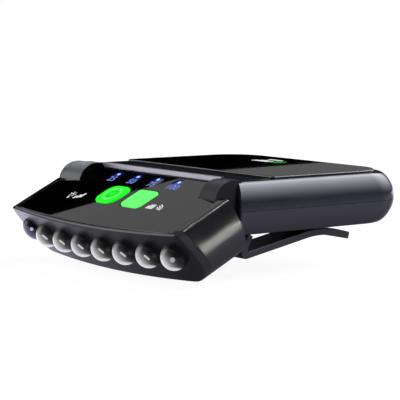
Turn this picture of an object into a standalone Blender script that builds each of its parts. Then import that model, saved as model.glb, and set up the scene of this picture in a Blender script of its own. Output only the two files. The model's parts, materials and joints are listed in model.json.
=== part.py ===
"""A clip-on cap light: a flat battery case with a brim clip below it and a tilting lamp head in front.

The part frame has its origin on the case's flat underside, where a cap brim bears: X to the right,
Y to the rear, Z up. The lamp head is modelled nose-down by REST_TILT, the way it is usually worn.
"""

import math

import bmesh
import bpy
from mathutils import Matrix, Vector

MM = 0.001  # every size below is in millimetres, and this turns it into Blender's metres
GAP = 0.3  # clearance between pieces that meet
ROUND = 40  # sides of a large round piece
SMALL_ROUND = 24  # sides of a small round piece
BIG = 60.0  # reach of a cutter that trims everything on one side

# Battery case. The front wall is at Y 0 of the case frame, the underside at Z 0.
SEAT_TO_FRONT = 15.0
CASE_HEIGHT = 11.5
CASE_HALF_WIDTH = 27.7
SIDE_BULGE = 1.3
CASE_LENGTH = 47.2
REAR_BULGE = 3.9
REAR_CORNER = 9.5
BULGE_POWER = 0.6
CASE_RINGS = 12
CORNER_STEPS = 10
WALL = 1.5
FLOOR = 1.4
CAVITY_TOP = 9.4
CAVITY_FRONT = 4.9
PARTING = 5.14
SEAT_FACE = (17.4, 8.6, 24.2, 3.0)  # brim seat: half width, front, rear, corner radius
SEAT_GROOVE = (0.8, 0.3)  # width and depth of the groove round the brim seat

PANEL_FRONT = 10.9
PANEL_REAR = 46.2
PANEL_HALF_WIDTH = 26.8
PANEL_LOW = 11.0
PANEL_TOP = 12.0
PANEL_CORNER = 8.8
PANEL_FRONT_CORNER = 0.8

TRIM_HALF_WIDTH = 22.3
TRIM_FRONT = 0.35
TRIM_DEPTH = 0.95
TRIM_LOW = 10.95
TRIM_TOP = 12.05
TRIM_SLANT = 1.1

BATTERY = (34.0, 28.0, 5.0)
BATTERY_AT = (0.0, 26.0, 4.5)
BOARD = (30.0, 5.8, 1.0)
BOARD_AT = (0.0, 44.4, 3.7)
PORT = (8.0, 6.0, 2.8)
PORT_AT = (0.0, 47.4, 5.9)
PORT_WALL = 0.45
PORT_BACK = 1.2
SCREW_SPOTS = ((-23.0, 9.0), (23.0, 9.0), (-23.2, 40.0), (23.2, 40.0))
BOSS_RADIUS = 2.6
BOSS_FOOT = 1.0
SCREW_HEAD = (1.9, 0.2, 1.2)
SCREW_SHANK = (0.9, 8.2)
WIRE_RADIUS = 0.45
WIRE_CHANNEL = ((-27.0, -1.5, 6.2), (-25.0, 5.4, 7.8))
CASE_WIRE_PATH = ((-13.0, 43.0, 5.0), (-19.0, 43.0, 5.0), (-19.0, 36.0, 7.0), (-19.0, 5.5, 7.0),
                  (-26.0, 5.5, 7.0), (-26.0, -1.0, 7.0), (-23.2, -1.0, 7.0))

# Hinge between case and head.
HINGE_Y = -1.0
HINGE_Z = 7.0
REST_TILT = 26.0
KNUCKLE_RADIUS = 4.9
KNUCKLE_INNER = 22.6
KNUCKLE_OUTER = {1: 28.0, -1: 32.4}  # the left one runs out past the case's side
KNUCKLE_ROUNDING = 1.5
TONGUE_RADIUS = 3.85
TONGUE_HALF_WIDTH = 22.0
SHAFT_RADIUS = 2.0
SHAFT_BORE = 1.1
SHAFT_INNER = 16.5
SHAFT_OUTER = 25.2

# Lamp head, about the hinge axis: Y to the rear, Z square to the glossy panel.
HEAD_TOP = 3.17
HEAD_BOTTOM = -10.4
BROW_Y = -20.55
BROW_HALF_WIDTH = 30.7
FACE_RADIUS = 225.0
FACE_TILT = 15.6
CHEEK_WIDEST = 32.6
CHEEK_MIDDLE = -4.0
CHEEK_CORNER = 6.1
CHEEK_REAR = -3.0
CHEEK_INNER = 29.05
CHEEK_STEPS = 12
HEAD_WALL = 1.7
HEAD_REAR = -5.4
HEAD_DECK = 1.9
HEAD_CAVITY_TOP = 1.0
HEAD_CAVITY_BOTTOM = -7.3
HEAD_CAVITY_REAR = -7.0
BEZEL_THICKNESS = 2.0
HEEL_RELIEF = ((-10.2, -10.7), (-8.2, -9.2), (-6.6, -8.6), (-5.6, -7.6), (HEAD_REAR, -6.2),
               (-2, -6.2), (-2, -12), (-10.2, -12))  # side profile of the hollow that clears the clip
TONGUE_WEB = (-5.9, -0.5, -2.2, 1.8)  # rear to front and low to high, between head and barrel
BOARD_WINDOW = ((-23, -15.0, -1), (23, HEAD_CAVITY_REAR, HEAD_DECK + 1))
BUTTON_WELL = ((-9.4, -13, 0), (10.9, -2.9, HEAD_DECK + 1))
HEAD_WIRE_CHANNEL = ((-16.4, -8.0, -1.2), (-13.4, 0.9, 1.2))
HEAD_WIRE_PATH = ((-22.6, 0, 0), (-15.0, 0, 0), (-15.0, -9.0, 0))

HEAD_PANEL_LOW = 2.2
HEAD_PANEL_FRONT = -19.25
HEAD_PANEL_RADIUS = 274.0
HEAD_PANEL_SIDE = 29.6
NOTCH_OUTER = (29.3, -5.34)
NOTCH_INNER = (23.4, -4.02)
TONGUE_END = (21.9, 2.15)

DOME_PITCH = 7.7
DOME_COUNT = 8
DOME_RADIUS = 2.9
DOME_BULGE = 2.0
DOME_DROP = 6.05
DOME_PROUD = 0.3
DOME_STEPS = 8
DOME_STEM = (2.3, -2.4, -2.9)
LED_BOARD = (29.0, 2.9, 1.0, -9.2, -4.6)

POWER_BUTTON = (-4.1, -7.6, 8.0, 7.3, 2.6)
SENSOR_BUTTON = (6.0, -7.6, 7.4, 7.2, 1.3)
BUTTON_TOP = 3.6
BUTTON_LIP = 0.6
BUTTON_LIP_LOW = 0.8
BUTTON_LIP_TOP = 1.8
CONTROL_BOARD = (28.0, 6.6, 1.0)
CONTROL_BOARD_AT = (0.0, -10.7, -1.5)
SWITCH = (3.4, 3.4, 0.75)
SWITCH_Y = -9.2
BOARD_SCREW_SPOTS = ((-12.0, -10.7), (12.0, -10.7))
BOARD_SCREW = (1.6, -0.1, 0.7)
BOARD_SCREW_SHANK = (0.8, 6.0)
BOARD_POST = (2.0, -8.0, -2.3)
BOARD_HOLE = (1.1, -6.6)
INDICATOR_X = (-12.05, -4.5, 3.06, 10.68)
INDICATOR_Y = 0.5
INDICATOR_RADIUS = 0.6
SENSOR_MODULE = ((-1.2, -1.2, -2.6), (1.2, 1.2, -0.4))
SENSOR_WALL = 0.7

# Brim clip, a bent strip seen from the side in the case frame.
CLIP_THICKNESS = 1.6
CLIP_HALF_WIDTH = 26.0
CLIP_ELBOW = (3.3, -4.95)
CLIP_LEG_HEADING = 62.3
CLIP_LEG_LENGTH = 7.9
CLIP_ARM_HEADING = 10.6
CLIP_ARM_LENGTH = 18.9
CLIP_BEND = -24.0
CLIP_BEND_LENGTH = 9.5
CLIP_LIP_LENGTH = 3.4
CLIP_STEPS = 10
CLIP_WINDOW = (18.6, 7.2, 24.6, 3.0)
CLIP_TAB = (7.0, 19.0)
CLIP_FOOT = (6.2, 11.2, 1.7, 2.7)

FINISHES = {
    "case_plastic": ((0.10, 0.095, 0.12), 0.32, 0.0),
    "gloss_panel": ((0.006, 0.006, 0.007), 0.08, 0.0),
    "trim_metal": ((0.62, 0.60, 0.63), 0.28, 1.0),
    "face_plastic": ((0.06, 0.06, 0.065), 0.30, 0.0),
    "clear_lens": ((0.80, 0.80, 0.84), 0.05, 0.0),
    "sensor_lens": ((0.05, 0.03, 0.08), 0.06, 0.0),
    "green_key": ((0.02, 0.85, 0.06), 0.35, 0.0),
    "light_green_key": ((0.12, 1.0, 0.14), 0.35, 0.0),
    "blue_light": ((0.35, 0.45, 1.0), 0.20, 0.0),
    "steel": ((0.55, 0.55, 0.56), 0.30, 1.0),
    "board_green": ((0.02, 0.16, 0.06), 0.45, 0.0),
    "battery_wrap": ((0.55, 0.57, 0.60), 0.35, 0.6),
    "component_black": ((0.02, 0.02, 0.02), 0.50, 0.0),
    "wire_red": ((0.55, 0.03, 0.02), 0.45, 0.0),
    "clip_plastic": ((0.09, 0.088, 0.10), 0.42, 0.0),
}


def clear_scene():
    for thing in list(bpy.data.objects):
        bpy.data.objects.remove(thing)


def make_group(name):
    group = bpy.data.collections.new(name)
    bpy.context.scene.collection.children.link(group)
    return group


def make_frame(name, at, tilt=0.0, parent=None):
    """An empty that carries pieces; tilt turns it about X, in degrees."""
    frame = bpy.data.objects.new(name, None)
    PARTS.objects.link(frame)
    frame.parent = parent
    frame.location = Vector(at) * MM
    frame.rotation_euler = (math.radians(tilt), 0, 0)
    return frame


def make_finish(name):
    color, roughness, metallic = FINISHES[name]
    finish = bpy.data.materials.new(name)
    finish.use_nodes = True
    shader = finish.node_tree.nodes["Principled BSDF"]
    shader.inputs["Base Color"].default_value = (*color, 1.0)
    shader.inputs["Roughness"].default_value = roughness
    shader.inputs["Metallic"].default_value = metallic
    return finish


def place(name, mesh, frame, finish, at=(0, 0, 0), turn=(0, 0, 0)):
    """A piece of the product, in its frame's coordinates; turn is in degrees."""
    piece = bpy.data.objects.new(name, mesh)
    PARTS.objects.link(piece)
    piece.parent = frame
    piece.location = Vector(at) * MM
    piece.rotation_euler = [math.radians(angle) for angle in turn]
    own_finish = bpy.data.materials.get(finish) or make_finish(finish)
    own_finish = own_finish.copy()
    own_finish.name = name + "_finish"
    mesh.materials.clear()
    mesh.materials.append(own_finish)
    return piece


def tool(name, mesh, frame, at=(0, 0, 0), turn=(0, 0, 0)):
    """A cutting or joining shape, which is no piece itself."""
    shape = bpy.data.objects.new(name, mesh)
    CUTTERS.objects.link(shape)
    shape.parent = frame
    shape.location = Vector(at) * MM
    shape.rotation_euler = [math.radians(angle) for angle in turn]
    shape.hide_render = True
    shape.display_type = "WIRE"
    return shape


def combine(piece, operation, *shapes):
    for shape in shapes:
        step = piece.modifiers.new(f"{operation}_{shape.name}", "BOOLEAN")
        step.operation = operation
        step.object = shape
        step.solver = "EXACT"
    return piece


def cut(piece, *shapes):
    return combine(piece, "DIFFERENCE", *shapes)


def join(piece, *shapes):
    return combine(piece, "UNION", *shapes)


def keep_inside(piece, *shapes):
    return combine(piece, "INTERSECT", *shapes)


def finish_mesh(form, name, smooth_above=None):
    bmesh.ops.recalc_face_normals(form, faces=form.faces)
    mesh = bpy.data.meshes.new(name)
    form.to_mesh(mesh)
    form.free()
    if smooth_above is not None:
        mesh.shade_smooth()
        mesh.set_sharp_from_angle(angle=math.radians(smooth_above))
    return mesh


def box_mesh(low, high):
    low = Vector(low) * MM
    high = Vector(high) * MM
    form = bmesh.new()
    bmesh.ops.create_cube(form, size=1.0)
    bmesh.ops.scale(form, verts=form.verts, vec=high - low)
    bmesh.ops.translate(form, verts=form.verts, vec=(low + high) / 2)
    return finish_mesh(form, "box")


def centred_box_mesh(size):
    half = Vector(size) / 2
    return box_mesh(-half, half)


def rod_mesh(radius, low, high, along="Z", sides=SMALL_ROUND):
    """A round rod about the Z or X axis, from low to high."""
    form = bmesh.new()
    bmesh.ops.create_cone(
        form, cap_ends=True, segments=sides, radius1=radius * MM, radius2=radius * MM,
        depth=(high - low) * MM)
    bmesh.ops.translate(form, verts=form.verts, vec=(0, 0, (low + high) / 2 * MM))
    if along == "X":
        bmesh.ops.rotate(form, verts=form.verts, matrix=Matrix.Rotation(math.pi / 2, 3, "Y"))
    return finish_mesh(form, "rod", 40)


def knuckle_mesh(side):
    """The case's half of the hinge on one side, rounded at its outer end."""
    form = bmesh.new()
    depth = (KNUCKLE_OUTER[side] - KNUCKLE_INNER) * MM
    bmesh.ops.create_cone(
        form, cap_ends=True, segments=ROUND, radius1=KNUCKLE_RADIUS * MM,
        radius2=KNUCKLE_RADIUS * MM, depth=depth)
    rim = [edge for edge in form.edges if all(vert.co.z > 0 for vert in edge.verts)]
    bmesh.ops.bevel(
        form, geom=rim, offset=KNUCKLE_ROUNDING * MM, segments=4, profile=0.5, affect="EDGES")
    bmesh.ops.translate(form, verts=form.verts, vec=(0, 0, depth / 2 + KNUCKLE_INNER * MM))
    turn = Matrix.Rotation(side * math.pi / 2, 3, "Y")
    bmesh.ops.rotate(form, verts=form.verts, matrix=turn)
    return finish_mesh(form, "knuckle", 40)


def plate_mesh(outline, low, high, chamfer=0.0):
    """A flat outline in XY, filled and thickened from low to high, with chamfered edges."""
    curve = bpy.data.curves.new("outline", "CURVE")
    curve.dimensions = "2D"
    curve.fill_mode = "BOTH"
    curve.extrude = ((high - low) / 2 - chamfer) * MM
    curve.bevel_depth = chamfer * MM
    curve.bevel_resolution = 0
    curve.offset = -chamfer * MM
    spline = curve.splines.new("POLY")
    spline.points.add(len(outline) - 1)
    for point, (x, y) in zip(spline.points, outline):
        point.co = (x * MM, y * MM, 0, 1)
    spline.use_cyclic_u = True
    mesh = mesh_from_curve(curve)
    mesh.transform(Matrix.Translation((0, 0, (low + high) / 2 * MM)))
    return mesh


def mesh_from_curve(curve):
    guide = bpy.data.objects.new("guide", curve)
    bpy.context.scene.collection.objects.link(guide)
    bpy.context.view_layer.update()
    seen = guide.evaluated_get(bpy.context.evaluated_depsgraph_get())
    mesh = bpy.data.meshes.new_from_object(seen)
    bpy.data.objects.remove(guide)
    form = bmesh.new()
    form.from_mesh(mesh)
    bmesh.ops.remove_doubles(form, verts=form.verts, dist=0.001 * MM)
    bmesh.ops.recalc_face_normals(form, faces=form.faces)
    form.to_mesh(mesh)
    form.free()
    return mesh


def strip_mesh(profile, low, high):
    """A side profile in Y and Z, thickened along X from low to high."""
    mesh = plate_mesh(profile, low, high)
    mesh.transform(Matrix(((0, 0, 1, 0), (1, 0, 0, 0), (0, 1, 0, 0), (0, 0, 0, 1))))
    return mesh


def wire_mesh(path):
    curve = bpy.data.curves.new("wire", "CURVE")
    curve.dimensions = "3D"
    curve.bevel_depth = WIRE_RADIUS * MM
    curve.bevel_resolution = 2
    curve.use_fill_caps = True
    spline = curve.splines.new("POLY")
    spline.points.add(len(path) - 1)
    for point, place_on_path in zip(spline.points, path):
        point.co = (*(Vector(place_on_path) * MM), 1)
    return mesh_from_curve(curve)


def loft_mesh(rings):
    """A solid through rings of points that all have the same count."""
    form = bmesh.new()
    loops = [[form.verts.new(Vector(point) * MM) for point in ring] for ring in rings]
    for lower, upper in zip(loops, loops[1:]):
        for i in range(len(lower)):
            j = (i + 1) % len(lower)
            form.faces.new((lower[i], lower[j], upper[j], upper[i]))
    form.faces.new(loops[0])
    form.faces.new(loops[-1])
    return finish_mesh(form, "loft", 30)


def turned(name, profile, frame, finish, at, turn=(0, 0, 0), steps=SMALL_ROUND):
    """A turned piece; the profile gives radius and height, and runs down the outer side."""
    form = bmesh.new()
    verts = [form.verts.new((radius * MM, 0, height * MM)) for radius, height in profile]
    for a, b in zip(verts, verts[1:]):
        form.edges.new((a, b))
    mesh = bpy.data.meshes.new(name)
    form.to_mesh(mesh)
    form.free()
    piece = place(name, mesh, frame, finish, at, turn)
    spin = piece.modifiers.new("turn", "SCREW")
    spin.axis = "Z"
    spin.steps = steps
    spin.render_steps = steps
    spin.use_merge_vertices = True
    spin.merge_threshold = 0.01 * MM
    spin.use_smooth_shade = True
    return piece


def rounded_rectangle(half_x, front, rear, front_corner, rear_corner, steps=CORNER_STEPS):
    """A counter-clockwise outline, seen from above, with its own radius at the front and the rear."""
    corners = (
        (half_x, front, front_corner, -90), (half_x, rear, rear_corner, 0),
        (-half_x, rear, rear_corner, 90), (-half_x, front, front_corner, 180))
    points = []
    for x, y, radius, start in corners:
        centre_x = x - math.copysign(radius, x)
        centre_y = y + radius if y == front else y - radius
        if radius == 0:
            points.append((x, y))
            continue
        for step in range(steps + 1):
            angle = math.radians(start + 90 * step / steps)
            points.append((centre_x + radius * math.cos(angle), centre_y + radius * math.sin(angle)))
    return points


def shifted(points, x, y):
    return [(px + x, py + y) for px, py in points]


# ---------------------------------------------------------------- battery case

def case_ring(z, inset, front):
    """The case's outline at height z, moved inwards by inset."""
    share = math.sin(math.pi * min(max(z / CASE_HEIGHT, 0.0), 1.0)) ** BULGE_POWER
    half_x = CASE_HALF_WIDTH + SIDE_BULGE * share - inset
    rear = CASE_LENGTH + REAR_BULGE * share - inset
    outline = rounded_rectangle(half_x, front, rear, 0, REAR_CORNER - inset)
    return [(x, y, z) for x, y in outline]


def ring_heights(low, high):
    for step in range(CASE_RINGS + 1):
        yield low + (high - low) * (1 - math.cos(math.pi * step / CASE_RINGS)) / 2


def case_block_mesh():
    return loft_mesh([case_ring(z, 0.0, 0.0) for z in ring_heights(0.0, CASE_HEIGHT)])


def case_cavity_mesh():
    return loft_mesh([case_ring(z, WALL, CAVITY_FRONT) for z in ring_heights(FLOOR, CAVITY_TOP)])


def panel_outline(grow):
    return rounded_rectangle(
        PANEL_HALF_WIDTH + grow, PANEL_FRONT - grow, PANEL_REAR + grow, PANEL_FRONT_CORNER,
        PANEL_CORNER + grow)


def case_tools():
    """The shapes that both halves of the case are cut and joined with."""
    hinge = make_frame("case_hinge_line", (0, HINGE_Y, HINGE_Z), parent=CASE)
    bore = (KNUCKLE_INNER - 2, SHAFT_OUTER + GAP)
    shapes = {
        "knuckle_right": knuckle_mesh(1),
        "knuckle_left": knuckle_mesh(-1),
        "tongue_trough": rod_mesh(
            TONGUE_RADIUS + GAP, -KNUCKLE_INNER, KNUCKLE_INNER, "X", ROUND),
        "bore_right": rod_mesh(SHAFT_RADIUS + GAP, *bore, "X"),
        "bore_left": rod_mesh(SHAFT_RADIUS + GAP, -bore[1], -bore[0], "X"),
    }
    tools = {name: tool(name, mesh, hinge) for name, mesh in shapes.items()}
    tools["cavity"] = tool("case_cavity", case_cavity_mesh(), CASE)
    tools["wire_channel"] = tool("wire_channel", box_mesh(*WIRE_CHANNEL), CASE)
    port = Vector(PORT) / 2 + Vector((GAP, GAP, GAP))
    opening = box_mesh(Vector(PORT_AT) - port, Vector(PORT_AT) + port + Vector((0, 4, 0)))
    tools["port"] = tool("port_opening", opening, CASE)
    return tools


def screw_tools(side, low, high, hole_top):
    bosses = []
    holes = []
    for i, (x, y) in enumerate(SCREW_SPOTS):
        boss = rod_mesh(BOSS_RADIUS, low, high)
        bosses.append(tool(f"{side}_boss_{i}", boss, CASE, at=(x, y, 0)))
        hole = rod_mesh(SCREW_SHANK[0] + GAP, -1.0, hole_top)
        holes.append(tool(f"{side}_screw_hole_{i}", hole, CASE, at=(x, y, 0)))
    return bosses, holes


def make_top_shell(tools):
    shell = place("body_top_shell", case_block_mesh(), CASE, "case_plastic")
    join(shell, tools["knuckle_right"], tools["knuckle_left"])
    below = box_mesh((-BIG, -BIG, -BIG), (BIG, 2 * BIG, PARTING + GAP / 2))
    cut(shell, tool("below_parting", below, CASE), tools["cavity"], tools["tongue_trough"])
    bosses, holes = screw_tools("top", PARTING + GAP / 2, CAVITY_TOP + 0.4, SCREW_SHANK[1] + GAP)
    join(shell, *bosses)
    cut(shell, *holes, tools["bore_right"], tools["bore_left"], tools["wire_channel"], tools["port"])
    pocket = plate_mesh(panel_outline(GAP), PANEL_LOW - GAP, PANEL_TOP + 1)
    notch = box_mesh(
        (-TRIM_HALF_WIDTH - GAP, -2.0, TRIM_LOW - 0.35),
        (TRIM_HALF_WIDTH + GAP, TRIM_FRONT + TRIM_DEPTH + GAP, TRIM_TOP + 2))
    cut(shell, tool("panel_pocket", pocket, CASE), tool("trim_notch", notch, CASE))


def make_bottom_shell(tools, clip_slots):
    shell = place("body_bottom_shell", case_block_mesh(), CASE, "case_plastic")
    join(shell, tools["knuckle_right"], tools["knuckle_left"])
    above = box_mesh((-BIG, -BIG, PARTING - GAP / 2), (BIG, 2 * BIG, BIG))
    cut(shell, tool("above_parting", above, CASE), tools["cavity"], tools["tongue_trough"])
    bosses, holes = screw_tools("bottom", BOSS_FOOT, PARTING - GAP / 2, PARTING + 1)
    join(shell, *bosses)
    sinks = []
    for i, (x, y) in enumerate(SCREW_SPOTS):
        sink = rod_mesh(SCREW_HEAD[0] + GAP, -1.0, SCREW_HEAD[2] + GAP)
        sinks.append(tool(f"screw_sink_{i}", sink, CASE, at=(x, y, 0)))
    cut(shell, *holes, *sinks, tools["bore_right"], tools["bore_left"], tools["port"], *clip_slots)
    cut(shell, seat_groove())


def seat_groove():
    """A ring-shaped cutter that sets the brim seat off from the rest of the underside."""
    half, front, rear, corner = SEAT_FACE
    width, depth = SEAT_GROOVE
    outline = rounded_rectangle(
        half + width, front - width, rear + width, corner + width, corner + width)
    groove = tool("seat_groove", plate_mesh(outline, -1.0, depth), CASE)
    middle = plate_mesh(rounded_rectangle(half, front, rear, corner, corner), -2.0, depth + 1)
    return cut(groove, tool("seat_face", middle, CASE))


def make_case_fittings():
    panel = plate_mesh(panel_outline(0.0), PANEL_LOW, PANEL_TOP, chamfer=0.15)
    place("body_top_panel", panel, CASE, "gloss_panel")
    half = TRIM_HALF_WIDTH
    trim_face = [(-half + TRIM_SLANT, TRIM_LOW), (half - TRIM_SLANT, TRIM_LOW), (half, TRIM_TOP),
                 (-half, TRIM_TOP)]
    trim = plate_mesh(trim_face, -TRIM_DEPTH / 2, TRIM_DEPTH / 2, chamfer=0.1)
    place("front_trim_bar", trim, CASE, "trim_metal",
          at=(0, TRIM_FRONT + TRIM_DEPTH / 2, 0), turn=(90, 0, 0))
    battery = place("battery_cell", centred_box_mesh(BATTERY), CASE, "battery_wrap", at=BATTERY_AT)
    edge = battery.modifiers.new("round_edges", "BEVEL")
    edge.width = 1.0 * MM
    edge.segments = 2
    place("main_board", centred_box_mesh(BOARD), CASE, "board_green", at=BOARD_AT)
    port = place("usb_receptacle", centred_box_mesh(PORT), CASE, "steel", at=PORT_AT)
    half = Vector(PORT) / 2
    inside = box_mesh(
        (-half.x + PORT_WALL, -half.y + PORT_BACK, -half.z + PORT_WALL),
        (half.x - PORT_WALL, half.y + 1, half.z - PORT_WALL))
    cut(port, tool("port_inside", inside, CASE, at=PORT_AT))
    for i, (x, y) in enumerate(SCREW_SPOTS):
        make_screw(f"case_screw_{i + 1}", CASE, (x, y, 0), SCREW_HEAD, SCREW_SHANK)
    place("wire_harness_body", wire_mesh(CASE_WIRE_PATH), CASE, "wire_red")


def make_screw(name, frame, at, head, shank, up=1):
    """A screw with a round head between two heights and a plain shank that ends at a third."""
    head_radius, head_low, head_high = head
    shank_radius, shank_end = shank
    profile = [(0, shank_end), (shank_radius, shank_end), (shank_radius, head_high),
               (head_radius, head_high), (head_radius, head_low), (0, head_low)]
    turn = (0, 0, 0)
    if up < 0:
        turn = (180, 0, 0)
    turned(name, profile, frame, "steel", at, turn, steps=16)


# ---------------------------------------------------------------- brim clip

def walk(start, heading, length):
    angle = math.radians(heading)
    return (start[0] + length * math.cos(angle), start[1] + length * math.sin(angle))


def clip_centreline():
    """The strip's middle line from the top of the leg, round the elbow, to the end of the lip."""
    points = [walk(CLIP_ELBOW, CLIP_LEG_HEADING, CLIP_LEG_LENGTH), CLIP_ELBOW]
    headings = [CLIP_LEG_HEADING + 180]
    here = walk(CLIP_ELBOW, CLIP_ARM_HEADING, CLIP_ARM_LENGTH)
    points.append(here)
    headings.append(CLIP_ARM_HEADING)
    for step in range(CLIP_STEPS):
        heading = CLIP_ARM_HEADING + CLIP_BEND * (step + 0.5) / CLIP_STEPS
        here = walk(here, heading, CLIP_BEND_LENGTH / CLIP_STEPS)
        points.append(here)
        headings.append(heading)
    heading = CLIP_ARM_HEADING + CLIP_BEND
    points.append(walk(here, heading, CLIP_LIP_LENGTH))
    headings.append(heading)
    return points, headings


def clip_profile():
    """The closed side outline: front and under side first, then back along the inner side."""
    points, headings = clip_centreline()
    half = CLIP_THICKNESS / 2
    outer = [walk(points[0], headings[0] - 90, half), walk(points[1], headings[0] - 90, half)]
    first = headings[0] - 90
    turn_left = (headings[1] - 90 - first) % 360
    for step in range(1, CLIP_STEPS):
        outer.append(walk(CLIP_ELBOW, first + turn_left * step / CLIP_STEPS, half))
    outer.append(walk(points[1], headings[1] - 90, half))
    inner_elbow = walk(
        CLIP_ELBOW, elbow_heading(), half / math.sin(math.radians(elbow_half_angle())))
    inner = [walk(points[0], headings[0] + 90, half), inner_elbow]
    for i in range(2, len(points)):
        before = headings[i - 1]
        after = headings[i] if i < len(headings) else before
        middle = (before + after) / 2
        outer.append(walk(points[i], middle - 90, half))
        inner.append(walk(points[i], middle + 90, half))
    return outer + inner[::-1]


def elbow_heading():
    return (CLIP_LEG_HEADING + CLIP_ARM_HEADING) / 2


def elbow_half_angle():
    return (CLIP_LEG_HEADING - CLIP_ARM_HEADING) / 2


def clip_flex_line():
    """Where the elbow bends open: the outer skin of the elbow, in the middle of its corner."""
    return walk(CLIP_ELBOW, elbow_heading() + 180, CLIP_THICKNESS / 2)


def elbow_split(name, side):
    """A block that reaches from the elbow's dividing plane to one side of it."""
    block = box_mesh((-BIG, -BIG, -GAP / 2), (BIG, BIG, BIG))
    turn = elbow_heading() if side == "leg" else elbow_heading() + 180
    return tool(name, block, CASE, at=(0, *CLIP_ELBOW), turn=(turn, 0, 0))


def make_clip():
    """The springy clip: its fixed leg and its swinging arm, divided at the elbow."""
    profile = clip_profile()
    base = place("clip_base", strip_mesh(profile, -CLIP_HALF_WIDTH, CLIP_HALF_WIDTH), CASE,
                 "clip_plastic")
    cut(base, elbow_split("arm_side", "arm"))
    case_floor = box_mesh((-BIG, -BIG, -GAP), (BIG, BIG, BIG))
    cut(base, tool("above_underside", case_floor, CASE))
    slots = []
    front, rear, low, high = CLIP_FOOT
    for side, sign in (("left", -1), ("right", 1)):
        ends = sorted((sign * CLIP_TAB[0], sign * CLIP_TAB[1]))
        tab = strip_mesh(tab_profile(-1.0, (low + high) / 2, -0.1), *ends)
        foot = box_mesh((ends[0], front, low), (ends[1], rear, high))
        join(base, tool(f"clip_tab_{side}", tab, CASE), tool(f"clip_foot_{side}", foot, CASE))
        slot = strip_mesh(tab_profile(-1.5, low + 0.5, GAP), ends[0] - GAP, ends[1] + GAP)
        slots.append(tool(f"clip_slot_{side}", slot, CASE))
    flex_y, flex_z = clip_flex_line()
    swing = make_frame("clip_flex_line", (0, flex_y, flex_z), parent=CASE)
    arm_mesh = strip_mesh(profile, -CLIP_HALF_WIDTH, CLIP_HALF_WIDTH)
    arm_mesh.transform(Matrix.Translation((0, -flex_y * MM, -flex_z * MM)))
    arm = place("clip_arm", arm_mesh, swing, "clip_plastic")
    half_window, window_front, window_rear, corner = CLIP_WINDOW
    outline = rounded_rectangle(half_window, window_front, window_rear, corner, corner)
    window = plate_mesh(outline, -12, 4)
    cut(arm, elbow_split("leg_side", "leg"), tool("clip_window", window, CASE))
    return slots


def tab_profile(low, high, grow):
    """The slanted leg between two heights."""
    angle = math.radians(CLIP_LEG_HEADING)
    half = (CLIP_THICKNESS / 2 + grow) / math.sin(angle)
    profile = []
    for z, side in ((low, -1), (low, 1), (high, 1), (high, -1)):
        middle = CLIP_ELBOW[0] + (z - CLIP_ELBOW[1]) / math.tan(angle)
        profile.append((middle + side * half, z))
    return profile


# ---------------------------------------------------------------- lamp head

def head_outline(inset, top):
    """The head seen from the front, with bulging cheeks; X and Z, counter-clockwise."""
    corner_x = CHEEK_WIDEST - CHEEK_CORNER
    right = []
    for step in range(CHEEK_STEPS + 1):
        angle = math.radians(-90 + 90 * step / CHEEK_STEPS)
        right.append((corner_x + (CHEEK_CORNER - inset) * math.cos(angle),
                      CHEEK_MIDDLE + (CHEEK_MIDDLE - HEAD_BOTTOM - inset) * math.sin(angle)))
    rise = HEAD_TOP - CHEEK_MIDDLE
    last = math.asin((top - CHEEK_MIDDLE) / rise)
    for step in range(1, CHEEK_STEPS + 1):
        angle = last * step / CHEEK_STEPS
        bulge = (CHEEK_WIDEST - BROW_HALF_WIDTH) * math.cos(angle)
        right.append((BROW_HALF_WIDTH - inset + bulge, CHEEK_MIDDLE + rise * math.sin(angle)))
    return right + [(-x, z) for x, z in reversed(right)]


def head_block_mesh(inset, top, front, rear):
    rings = [[(x, y, z) for x, z in head_outline(inset, top)] for y in (front, rear)]
    return loft_mesh(rings)


def face_sag(x):
    """How far the curved face lies behind its middle."""
    return FACE_RADIUS - math.sqrt(FACE_RADIUS ** 2 - x * x)


def behind_face(name, offset):
    """Everything behind the face, moved back by offset."""
    steps = 16
    reach = 36.0
    front = []
    for step in range(steps + 1):
        x = -reach + 2 * reach * step / steps
        front.append((x, face_sag(x)))
    block = plate_mesh(front + [(reach, 40.0), (-reach, 40.0)], -30.0, 20.0)
    return tool(name, block, FACE, at=(0, offset, 0))


def head_panel_outline(grow):
    """The glossy panel: a curved front, straight sides, notched for the knuckles."""
    steps = 12
    points = []
    half = HEAD_PANEL_SIDE + grow
    for step in range(steps + 1):
        x = -half + 2 * half * step / steps
        sag = HEAD_PANEL_RADIUS - math.sqrt(HEAD_PANEL_RADIUS ** 2 - x * x)
        points.append((x, HEAD_PANEL_FRONT + sag - grow))
    right = [(NOTCH_OUTER[0] + grow, NOTCH_OUTER[1] + grow), (NOTCH_INNER[0], NOTCH_INNER[1] + grow),
             (TONGUE_END[0], TONGUE_END[1] + grow)]
    return points + right + [(-x, y) for x, y in reversed(right)]


def knuckle_pockets():
    pockets = []
    for side, ends in (("right", (KNUCKLE_INNER - GAP, CHEEK_INNER)),
                       ("left", (-CHEEK_WIDEST - 1, -KNUCKLE_INNER + GAP))):
        pocket = rod_mesh(KNUCKLE_RADIUS + GAP, *ends, "X", ROUND)
        pockets.append(tool(f"knuckle_pocket_{side}", pocket, HEAD))
    return pockets


def panel_recess():
    recess = plate_mesh(head_panel_outline(GAP), HEAD_DECK, HEAD_TOP + 3)
    return tool("panel_recess", recess, HEAD)


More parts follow.
